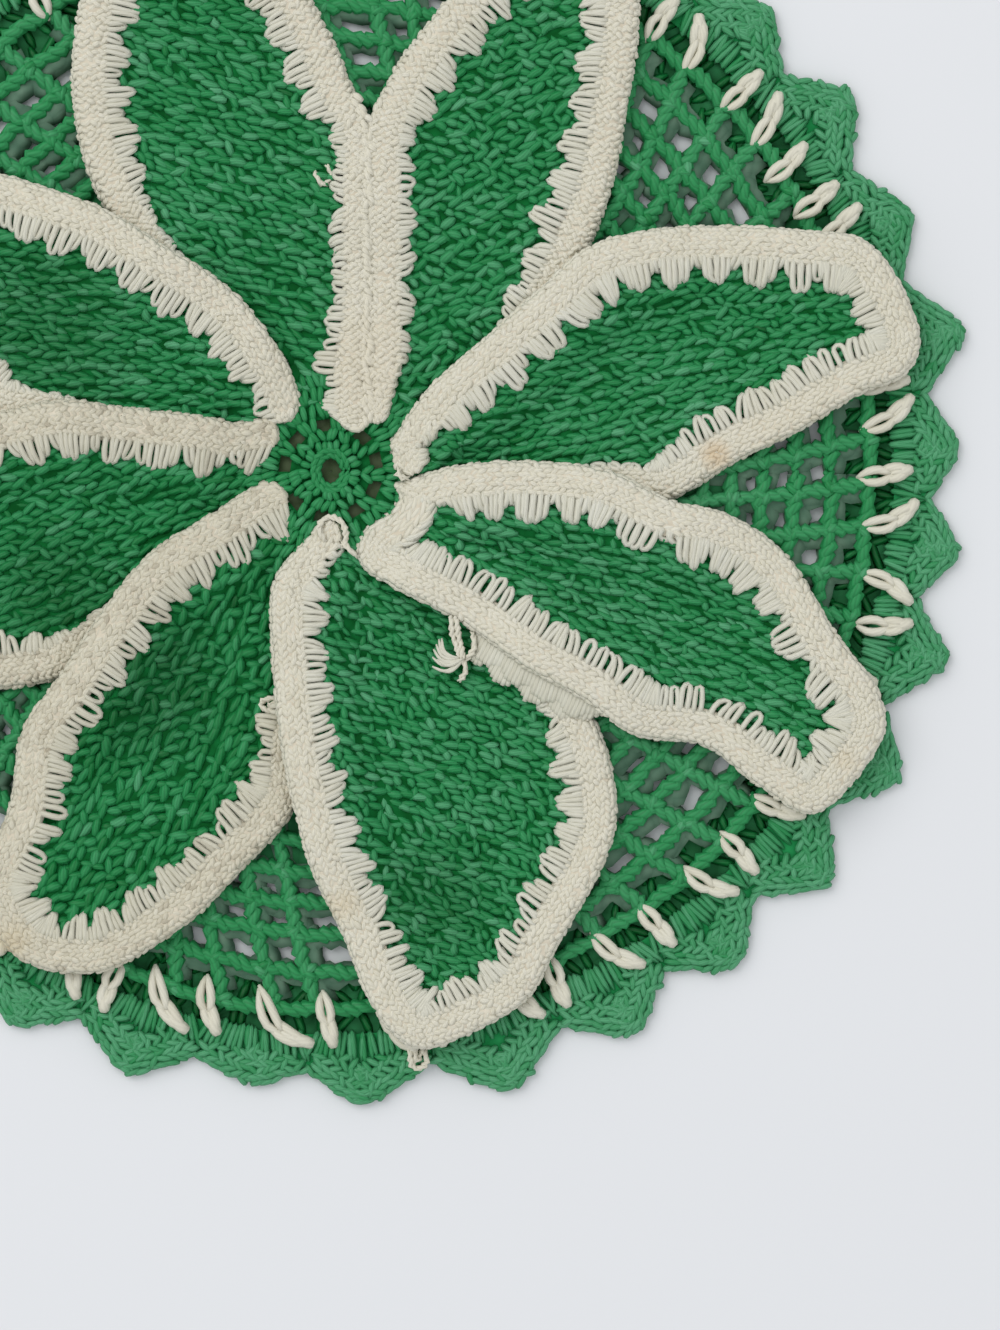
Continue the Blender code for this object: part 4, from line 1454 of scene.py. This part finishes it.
def net_painted_shadows():
    """Painted shadow: dull grey threads a little to one side under the net's rounds and bars,
    which close the cells partly where the lines' shadows fall on the floor."""
    lines = []
    for ring in NET_RINGS[:-1]:
        lines.append(polar(ring, np.linspace(0.0, 360.0, round(2 * math.pi * ring / 1.6))))
    for degrees in net_lines:
        reach = np.linspace(NET_INNER, NET_RINGS[-1] - 1.5, 18)
        lines.append(polar(reach, leant(degrees, reach)))
    bundles = []
    for line in lines:
        stray = rng.normal(0.0, 0.25, line.shape)
        path = raised(line + SHADOW_SHIFT + stray, SHADOW_LEVEL)
        radii = SHADOW_RADIUS * rng.normal(1.0, 0.12, (1, len(line)))
        bundles.append(bent(path[None], radii, sides=5, flat=0.42))
    # The pads behind the knots are painted shadow too.
    t = np.linspace(-KNOT_HALF, KNOT_HALF, 4)[:, None]
    shadow_pads = []
    for degrees in net_lines:
        for ring in NET_RINGS[:-1]:
            crossing = leant(degrees, ring)
            lie = polar(1.0, crossing + rng.uniform(0.0, 180.0))
            middle = polar(ring, crossing) + SHADOW_SHIFT + rng.normal(0.0, 0.4, 2)
            shadow_pads.append(raised(middle + lie * t, SHADOW_LEVEL))
    bundles.append(bent(np.array(shadow_pads), SHADOW_PAD_RADIUS * swell(4, 0.6), sides=6, flat=0.36))
    return bundles


# %% The ground inside the net
def ring_sheet(name, inner, outer, height, thick, count, material):
    """A thin closed ring: one radial edge of it spun round the centre."""
    bm = bmesh.new()
    spots = [bm.verts.new((reach * MM, 0.0, height * MM)) for reach in (inner, outer)]
    bm.edges.new(spots)
    bmesh.ops.spin(
        bm,
        geom=list(bm.verts) + list(bm.edges),
        angle=2 * math.pi,
        steps=count,
        axis=(0, 0, 1),
        cent=(0, 0, 0),
        use_merge=True,
    )
    thicken(bm, thick)
    return piece_from(bm, name, material, smooth=False)


UNDER_PITCH = 2.6
UNDER_ROWS = ((79.5, 83.0), (82.5, 86.5), (86.0, 90.5))  # each from here to there


def under_round():
    """Short legs behind the net's last cells, which look dark through them. Their dark colour is
    painted shade.
    """
    bundles = []
    for inner, outer in UNDER_ROWS:
        count = round(2 * math.pi * inner / UNDER_PITCH)
        degrees = np.arange(count) * 360.0 / count + rng.normal(0.0, 0.4, count)
        lean = rng.normal(0.0, 0.9, count)
        knots = [
            raised(polar(reach, degrees + share * lean), height)
            for reach, share, height in (
                (inner, -1.0, 0.3),
                ((inner + outer) / 2, 0.2, 0.5),
                (outer, 1.0, 0.3),
            )
        ]
        paths = smoothed(np.stack(knots, axis=1), 4)
        shade = rng.normal(-0.05, 0.1, count)
        bundles.append(bent(paths, 0.75 * swell(4, 0.6), sides=4, shade=shade))
    return bundles


# %% Work the net
net_bundles = net_rounds() + net_bars() + net_knots() + under_round()
net_thread = thread_piece("net_cords", net_bundles, green_thread)
# Painted shadow: the grey threads below the net's lines.
net_shadows = thread_piece("net_painted_shadows", net_painted_shadows(), net_shadow_ground)
net_ground = ring_sheet(
    "net_ground",
    inner=NET_INNER,
    outer=65.0,
    height=1.2,
    thick=0.7,
    count=128,
    material=shaded_ground,
)
# A dark sheet under the net's last cells and the border's foot: its colour is painted shade, for
# those cells look dark.
net_under = ring_sheet(
    "net_under",
    inner=79.2,
    outer=91.5,
    height=0.35,
    thick=0.3,
    count=128,
    material=shaded_ground,
)

# %% [markdown]
# ## The border
#
# Each shell of the border is a fan. Its inner part is a row of close upright threads, and
# rows of slanted links run along each slope to a small picot at the point.

# %% The border's outline
BORDER_LEVEL = 1.5
FINGER_PITCH = 0.86
FINGER_MIDDLE = 92.0  # the pitch holds at this distance from the centre
FINGER_LONG = 4.6
FINGER_RADIUS = 0.53


def shell_outline(number):
    """The shell's outer edge from valley to valley, as (degrees, reach)."""
    degrees, reach = shell_tips[number]
    spots = []
    for valley, order in ((valleys[number - 1], 1), (valleys[number], -1)):
        valley = degrees + (valley - degrees + 180.0) % 360.0 - 180.0
        half = [
            (valley, VALLEY_REACH),
            (valley + 0.33 * (degrees - valley), VALLEY_REACH + 0.34 * (reach - VALLEY_REACH)),
            (valley + 0.70 * (degrees - valley), VALLEY_REACH + 0.78 * (reach - VALLEY_REACH)),
            (valley + 0.91 * (degrees - valley), reach - 0.25),
        ]
        spots += half[::order] if order == 1 else half[::-1]
    return np.array(spots)


def border_fingers():
    """A row of upright threads at each shell's foot."""
    knots, shades = [], []
    for number in range(SHELLS):
        outline = shell_outline(number)
        low, high = outline[0, 0], outline[-1, 0]
        count = round(math.radians(high - low) * FINGER_MIDDLE / FINGER_PITCH)
        for share in (np.arange(count) + 0.5) / count:
            degrees = low + (high - low) * share + rng.normal(0.0, 0.1)
            edge = np.interp(degrees, outline[:, 0], outline[:, 1])
            stop = min(BORDER_INNER + FINGER_LONG, edge - 1.3) + rng.normal(0.0, 0.3)
            spread = (share - 0.5) * 0.6 + rng.normal(0.0, 0.08)
            start = BORDER_INNER - 0.2 + rng.normal(0.0, 0.2)
            high_up = BORDER_LEVEL + rng.normal(0.0, 0.08)
            knots.append(
                [
                    (*polar(start, degrees - 2.0 * spread), 0.8),
                    (*polar(start + 0.6, degrees - 1.6 * spread), high_up + 0.2),
                    (*polar((start + stop) / 2 + 0.3, degrees), high_up + 0.35),
                    (*polar(stop, degrees + 1.4 * spread), high_up - 0.1),
                ]
            )
            shades.append(0.64 + rng.normal(0.0, 0.1))
    paths = smoothed(np.array(knots), 5)
    radii = FINGER_RADIUS * swell(5) * rng.normal(1.0, 0.08, (len(paths), 1))
    return [bent(paths, radii, sides=4, shade=shades)]


# The shell's rows of slanted links: (depth from the outline, height, slant, where in its
# pitch the row starts)
SLOPE_ROWS = (
    (0.58, 1.22, 4.0, 0.2),
    (1.40, 1.72, 14.0, 0.7),
    (2.30, 1.84, -20.0, 0.4),
    (3.25, 1.80, 34.0, 0.1),
    (4.25, 1.74, -30.0, 0.6),
    (5.25, 1.70, 60.0, 0.3),
)
SLOPE_PITCH = 1.55
SLOPE_LINK = 1.3  # half its length
SLOPE_RADIUS = 0.6
PICOT = ((-0.8, -0.3), (0.8, -0.2), (0.0, 0.1))  # links at the point: across, outward
PICOT_LEVEL, PICOT_LINK = 1.45, 0.8  # their height, and half of a link's length


def border_slopes():
    """Rows of slanted links along each slope, and a picot at each point."""
    paths, shades = [], []

    def link(middle, lie, height, half):
        t = np.linspace(-1.0, 1.0, 5)
        arch = height + 0.35 * (1.0 - t**2) - 0.25
        paths.append(raised(middle + lie * (half * t)[:, None], arch))
        shades.append(0.72 + rng.normal(0.0, 0.11))

    for number in range(SHELLS):
        outline = smooth_path(polar(*shell_outline(number).T[::-1]), 0.4)
        normals = inward(outline, 3)
        along = lengths_along(outline)
        tip = along[np.argmax(reach_of(outline))]
        for depth, height, slant, start in SLOPE_ROWS:
            for place in np.arange(start * SLOPE_PITCH, along[-1], SLOPE_PITCH):
                spot, normal = (
                    np.array([np.interp(place, along, value[:, k]) for k in (0, 1)])
                    for value in (outline, normals)
                )
                # The deeper rows leave the shell's foot to the upright threads.
                if reach_of(spot + normal * depth) < BORDER_INNER + (3.6 if depth > 2 else 1):
                    continue
                ahead = -left_of(normal)
                lean = slant if place < tip else -slant
                turn = math.radians(lean + rng.normal(0.0, 18.0))
                lie = ahead * math.cos(turn) + normal * math.sin(turn)
                away = normal * (depth + rng.normal(0.0, 0.12))
                link(spot + away, lie, height, SLOPE_LINK * rng.normal(1.0, 0.08))
        degrees, reach = shell_tips[number]
        outward = polar(1.0, degrees)
        aside = left_of(outward)
        for x, y in PICOT:
            lie = unit(outward + aside * (1.4 * x if x else 3.0))
            middle = outward * (reach - 1.2 + y) + aside * x * 0.7
            link(middle, lie, PICOT_LEVEL, PICOT_LINK)
    return [bent(np.array(paths), SLOPE_RADIUS * swell(5, 0.7), sides=4, shade=shades)]


def border_ground(name):
    """The shells' ground: rings from the inner edge to just inside the outline."""
    grid = []
    for number in range(SHELLS):
        outline = shell_outline(number)
        for degrees, reach in outline[:-1]:
            reaches = np.linspace(BORDER_INNER + 0.3, reach - 0.8, 4)
            grid.append(raised(polar(reaches, degrees), BORDER_LEVEL - 0.2))
    grid.append(grid[0])
    return ground_sheet(name, grid, 0.9, border_cotton)


# %% Work the border
border_thread = thread_piece(
    "border_stitches", border_fingers() + border_slopes(), green_thread
)
border_cloth = border_ground("border_ground")
print("border ground", round(area_of(border_cloth) * 1e4, 1), "square cm")

# %% [markdown]
# ## The cream stitches
#
# Two cream stitches stand at each valley, from the net's last round to the border. Each
# is two links of chain: a plump pointed loop with a dark slit in its middle, and a second
# one that ends in a round knob on the border. Below them a hidden cream chain runs round.

# %% The cream stitches' places
CREAM_FOOT = 84.9
CREAM_END = 92.9
CHAIN_REACH, CHAIN_LEVEL = 90.6, 0.55
# Stitches that stray from the rule: degrees at the foot and at the end, and how much
# farther out than the rest they stand
STRAYED_STITCHES = (
    (33.6, 34.5, -1.5),
    (28.7, 29.5, -0.5),
    (25.0, 26.6, 1.0),
    (4.3, 7.1, 0.0),
    (-0.8, 0.1, -0.7),
    (-6.0, -3.2, 0.3),
    (-11.0, -12.8, 1.5),
    (-16.2, -14.8, 2.3),
    (-37.7, -36.1, 0.0),
    (-43.0, -43.4, 0.0),
    (-48.3, -46.1, 0.0),
    (-54.7, -54.1, 0.0),
    (-60.6, -57.7, 0.0),
    (-65.9, -66.1, 0.0),
    (-90.9, -89.7, -1.6),
    (-97.8, -92.0, -1.6),
    (-103.8, -101.4, -1.8),
    (-109.5, -104.6, -1.0),
)


def cream_places():
    """(foot, end, how far out) for all 64 stitches."""
    found = []
    for valley in valleys:
        for side in (-1, 1):
            foot = valley + STITCH_FEET[0] + side * STITCH_FEET[1]
            end = valley + STITCH_ENDS[0] + side * STITCH_ENDS[1]
            found.append([foot, end, 0.0])
    found = np.array(found)
    free = np.ones(len(found), bool)
    for foot, end, out in STRAYED_STITCHES:
        away = abs((foot - found[:, 0] + 180.0) % 360.0 - 180.0)
        nearest = np.argmin(np.where(free, away, 360.0))
        found[nearest] = (foot, end, out)
        free[nearest] = False
    return found


# The strands of a cream stitch, as knots of (share of its length, how far aside in mm,
# height in mm), and each one's radius at five places along it. The first two strands
# are the loop, the next two the second link, the last the knob.
CREAM_STRANDS = (
    (
        ((-0.04, 0.1, 1.9), (0.16, 0.72, 2.9), (0.40, 0.86, 3.0), (0.62, 0.10, 2.8)),
        (0.3, 0.62, 0.70, 0.72, 0.5),
    ),
    (
        ((-0.02, -0.1, 1.9), (0.18, -0.74, 2.9), (0.42, -0.84, 2.9), (0.66, -0.10, 2.6)),
        (0.3, 0.62, 0.70, 0.72, 0.5),
    ),
    (
        ((0.42, 0.50, 2.2), (0.60, 0.80, 2.8), (0.80, 0.55, 3.1), (0.98, -0.20, 2.5)),
        (0.4, 0.68, 0.76, 0.80, 0.65),
    ),
    (
        ((0.46, -0.60, 2.3), (0.62, -0.72, 2.9), (0.82, -0.60, 2.9), (1.0, 0.20, 2.3)),
        (0.4, 0.68, 0.76, 0.80, 0.65),
    ),
    (
        ((0.52, 0.0, 2.4), (0.68, 0.0, 3.0), (0.86, 0.0, 2.9), (1.03, 0.0, 2.2)),
        (0.4, 0.55, 0.75, 1.05, 0.85),
    ),
)


def cream_stitches():
    bundles = []
    places = cream_places()
    for strand, shape in CREAM_STRANDS:
        paths = []
        for number, (foot, end, out) in enumerate(places):
            a, c = polar(CREAM_FOOT + out, foot), polar(CREAM_END + out, end)
            ahead = unit(c - a)
            aside = left_of(ahead)
            long = np.linalg.norm(c - a)
            bow = 0.3 * math.sin(number * 2.3) - 0.2 * math.radians(end - foot) * CREAM_END
            wide = 1.0 + 0.12 * math.sin(number * 3.7)
            knots = []
            for share, off, height in strand:
                curve = bow * math.sin(math.pi * share)
                spot = a + ahead * long * share + aside * (off * wide + curve)
                knots.append(np.array([*spot, height]) + rng.normal(0.0, 0.07, 3))
            paths.append(knots)
        paths = smoothed(np.array(paths), 7)
        radii = np.interp(np.linspace(0.0, 4.0, 7), range(5), shape)
        shade = rng.normal(0.45, 0.08, len(paths))
        bundles.append(bent(paths, radii, sides=6, shade=shade, tone=0.3))
    return bundles


def cream_chain():
    line = raised(polar(CHAIN_REACH, np.linspace(0.0, 360.0, 600)), CHAIN_LEVEL)
    return cord(line, radius=0.3, off=0.25, pitch=2.6, step=1.2, sides=5, shade=0.4)


cream_round = thread_piece("cream_stitches", cream_stitches() + cream_chain(), cream_thread)

# %% [markdown]
# ## The centre
#
# A ring of thread with single crochet worked into it, and spokes with gaps between them.
# Under the hole and the gaps lies a thin olive disc: painted shade, for the floor that
# shows there lies in deep shadow. The spokes' threads run on into the petals.

# %% The centre's sizes
CENTRE_HOLE = (1.2, 1.9)
CENTRE_DISC = 6.2
SPOKE_END = 8.6
SPOKE_GAPS = (12, 48, 98, 138, 171, 220, 260, 301, 337)
SPOKE_GAP_HALF = 10
COLLAR = 18.0  # the ground runs on under the petals' bases as far as this
UNDER_REACH = 12.0
CENTRE_LEVEL = 1.3  # the ground's
CENTRE_LEG = 0.62  # a leg's radius
# The ring's two cords: how far across and up they lie outside the hole, and their height
RING_CORDS = (((0.85, 0.65), 1.75), ((1.6, 1.4), 2.0))
# The rounds of legs: (inner reach, outer reach, pitch, lean in degrees, height)
CENTRE_ROUNDS = (
    (2.9, 5.0, 1.05, 10.0, 2.05),
    (4.6, 6.7, 1.05, -25.0, 1.95),
    (6.4, 8.9, 1.05, 12.0, 1.85),
    (8.6, 11.2, 1.10, -14.0, 1.75),
    (10.9, 13.6, 1.10, 10.0, 1.60),
    (13.3, 16.0, 1.15, -12.0, 1.50),
)
GAP_SIZE = (1.15, 0.85)  # a gap's half width and half depth where the floor shows
GAP_REACH = 7.4


def in_gap(spots):
    """Whether each of (count, 2) spots lies in one of the gaps between the spokes."""
    found = np.zeros(len(spots), bool)
    for degrees in SPOKE_GAPS:
        out = polar(1.0, degrees)
        away = spots - out * GAP_REACH
        x = (away @ left_of(out)) / (GAP_SIZE[0] + 0.35)
        y = (away @ out) / (GAP_SIZE[1] + 0.35)
        found |= x * x + y * y < 1.0
    return found


def centre_threads():
    bundles = []
    turn = np.linspace(0.0, 360.0, 40)
    for grow, height in RING_CORDS:
        ring = polar(1.0, turn) * (np.array(CENTRE_HOLE) + grow)
        twist = {"radius": 0.45, "off": 0.28, "pitch": 2.4, "step": 0.7, "turn": height}
        bundles += cord(raised(ring, height), sides=5, shade=0.4, **twist)
    for inner, outer, pitch, lean, height in CENTRE_ROUNDS:
        middle = (inner + outer) / 2
        count = round(2 * math.pi * middle / pitch)
        degrees = np.arange(count) * 360.0 / count + rng.normal(0.0, 12.0 / middle, count)
        leans = lean * rng.choice((-1, 1), count) * rng.uniform(0.5, 1.5, count)
        ahead = polar(1.0, degrees + leans)
        spots = polar(middle + rng.normal(0.0, 0.15, count), degrees)
        squeeze = np.where(inner < CENTRE_DISC - 3.0, 0.75, 1.0)
        t = np.linspace(-0.56, 0.56, 5) * (outer - inner)
        paths = spots[:, None] + ahead[:, None] * t[:, None] * squeeze
        arch = height - 0.35 * (2.0 * t / (outer - inner)) ** 2
        paths = np.concatenate([paths, np.broadcast_to(arch[:, None], (count, 5, 1))], axis=2)
        closed = ~np.any([in_gap(paths[:, k, :2]) for k in (1, 2, 3)], axis=0)
        shade = rng.normal(0.42, 0.08, count)
        radii = CENTRE_LEG * swell(5)
        bundles.append(bent(paths[closed], radii, sides=5, shade=shade[closed]))
    return bundles


def centre_ground(name):
    """The disc with its hole and gaps: a ring extruded outward, the gaps' faces taken
    out, then a thickness."""
    bm = bmesh.new()
    sides = [gap + edge * SPOKE_GAP_HALF for gap in SPOKE_GAPS for edge in (-1, 1)]
    spots = polar(1.0, np.array(sides, float))
    reaches = (np.array(CENTRE_HOLE) + 0.5, CENTRE_DISC + 0.3, SPOKE_END - 0.2, COLLAR)
    bmesh.ops.create_circle(bm, segments=len(sides), radius=1.0)
    ring, edges = list(bm.verts), list(bm.edges)
    for number, reach in enumerate(reaches):
        if number > 0:
            ring, edges = extruded(bm, edges)
        for vert, spot in zip(ring, spots * reach * MM):
            vert.co = (*spot, CENTRE_LEVEL * MM)
    gaps = []
    for face in bm.faces:
        middle = np.array(face.calc_center_median().xy) / MM
        inside = CENTRE_DISC + 0.4 < np.linalg.norm(middle) < SPOKE_END - 0.3
        towards = max(polar(1.0, np.array(SPOKE_GAPS, float)) @ middle) / np.linalg.norm(middle)
        if inside and towards > math.cos(math.radians(SPOKE_GAP_HALF / 2)):
            gaps.append(face)
    bmesh.ops.delete(bm, geom=gaps, context="FACES")
    print(f"{name}: {len(gaps)} gaps between the spokes")
    thicken(bm, 0.7)
    return piece_from(bm, name, green_ground, smooth=False)


centre_thread = thread_piece("centre_stitches", centre_threads(), green_thread)
centre_cloth = centre_ground("centre_ground")
# Painted shade: a thin olive disc under the centre's hole and gaps.
centre_shade_disc = ring_sheet(
    "centre_shade_disc",
    inner=0.1,
    outer=UNDER_REACH,
    height=0.3,
    thick=0.2,
    count=48,
    material=centre_shade_ground,
)

# %% [markdown]
# ## Each piece on the body
#
# Each piece rides on the doily's one body and stands for its plain solid, which is hidden.


# %% Ride and replace
def dress(pieces, node):
    for piece in pieces:
        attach(piece, "root")
    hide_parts(node)


for number, (ground, worked) in enumerate(petal_pieces, start=1):
    dress((ground, worked), f"petal_{number}")
for number, (ground, worked) in enumerate(edging_pieces, start=1):
    dress((ground, worked), f"edging_{number}")
dress((net_ground, net_under, net_thread, net_shadows), "net")
dress((border_cloth, border_thread), "border")
dress((cream_round,), "cream_round")
dress((centre_cloth, centre_shade_disc, centre_thread), "centre")

for number in range(len(petals)):
    cloth, worked = petal_pieces[number]

# %% [markdown]
# ## Floor, light and camera
#
# The doily lies on a pale, slightly blue floor under soft daylight from the upper left.
# The camera looks almost straight down from 0.6 m.

# %% The floor
def build_floor():
    bm = bmesh.new()
    bmesh.ops.create_grid(bm, x_segments=1, y_segments=1, size=1.5)
    bmesh.ops.translate(bm, vec=(0.0, 0.0, -0.1 * MM), verts=bm.verts)
    # Painted board gives back the light softly and evenly, with no gloss.
    material, _, shader = new_material("pale_painted_board")
    shader.inputs["Base Color"].default_value = linear("DBDDDF")
    shader.inputs["Roughness"].default_value = 0.85
    obj = piece_from(bm, "floor", material, smooth=False)


build_floor()


# %% The light
def direction_to(place):
    """The turn that points a light or camera from its place to the origin."""
    return (-Vector(place)).to_track_quat("-Z", "Y").to_euler()


def area_light(name, place, size, power, colour):
    data = bpy.data.lights.new(name, "AREA")
    data.shape = "DISK"
    data.size = size
    data.energy = power
    data.color = colour
    obj = placed(name, data)
    obj.location = place
    obj.rotation_euler = direction_to(place)


area_light(
    "window", place=(-1.1, 1.0, 1.6), size=1.8, power=19.5, colour=(1.0, 0.99, 0.97)
)
world = bpy.data.worlds.new("room")
bpy.context.scene.world = world
world.use_nodes = True
world.node_tree.nodes["Background"].inputs["Color"].default_value = linear("F9FAFD")
world.node_tree.nodes["Background"].inputs["Strength"].default_value = 0.88

# %% The camera
# The camera is framed for a view of 1000 by 1330 pixels at 6.3 pixels to the millimetre,
# with the doily's centre at pixel (330, 470) of it.
PIXELS = (1000, 1330)
SCALE = 6.3
CENTRE_AT = (330, 470)
HIGH = 600.0
STITCH_LEVEL = 4.0  # the level at which that scale holds, in mm
SENSOR = 36.0
camera_data = bpy.data.cameras.new("camera")
camera = placed("camera", camera_data)
camera_data.sensor_fit = "VERTICAL"
camera_data.sensor_height = SENSOR
camera_data.lens = SENSOR * (HIGH - STITCH_LEVEL) / (PIXELS[1] / SCALE)
camera.location = (
    (PIXELS[0] / 2 - CENTRE_AT[0]) / SCALE * MM,
    -(PIXELS[1] / 2 - CENTRE_AT[1]) / SCALE * MM,
    HIGH * MM,
)
bpy.context.scene.camera = camera
print("lens", round(camera_data.lens, 1), "mm, camera at", [round(x, 4) for x in camera.location])

# %% Plain colours
# The Standard view shows each hex colour as it is in full light.
bpy.context.scene.view_settings.view_transform = "Standard"
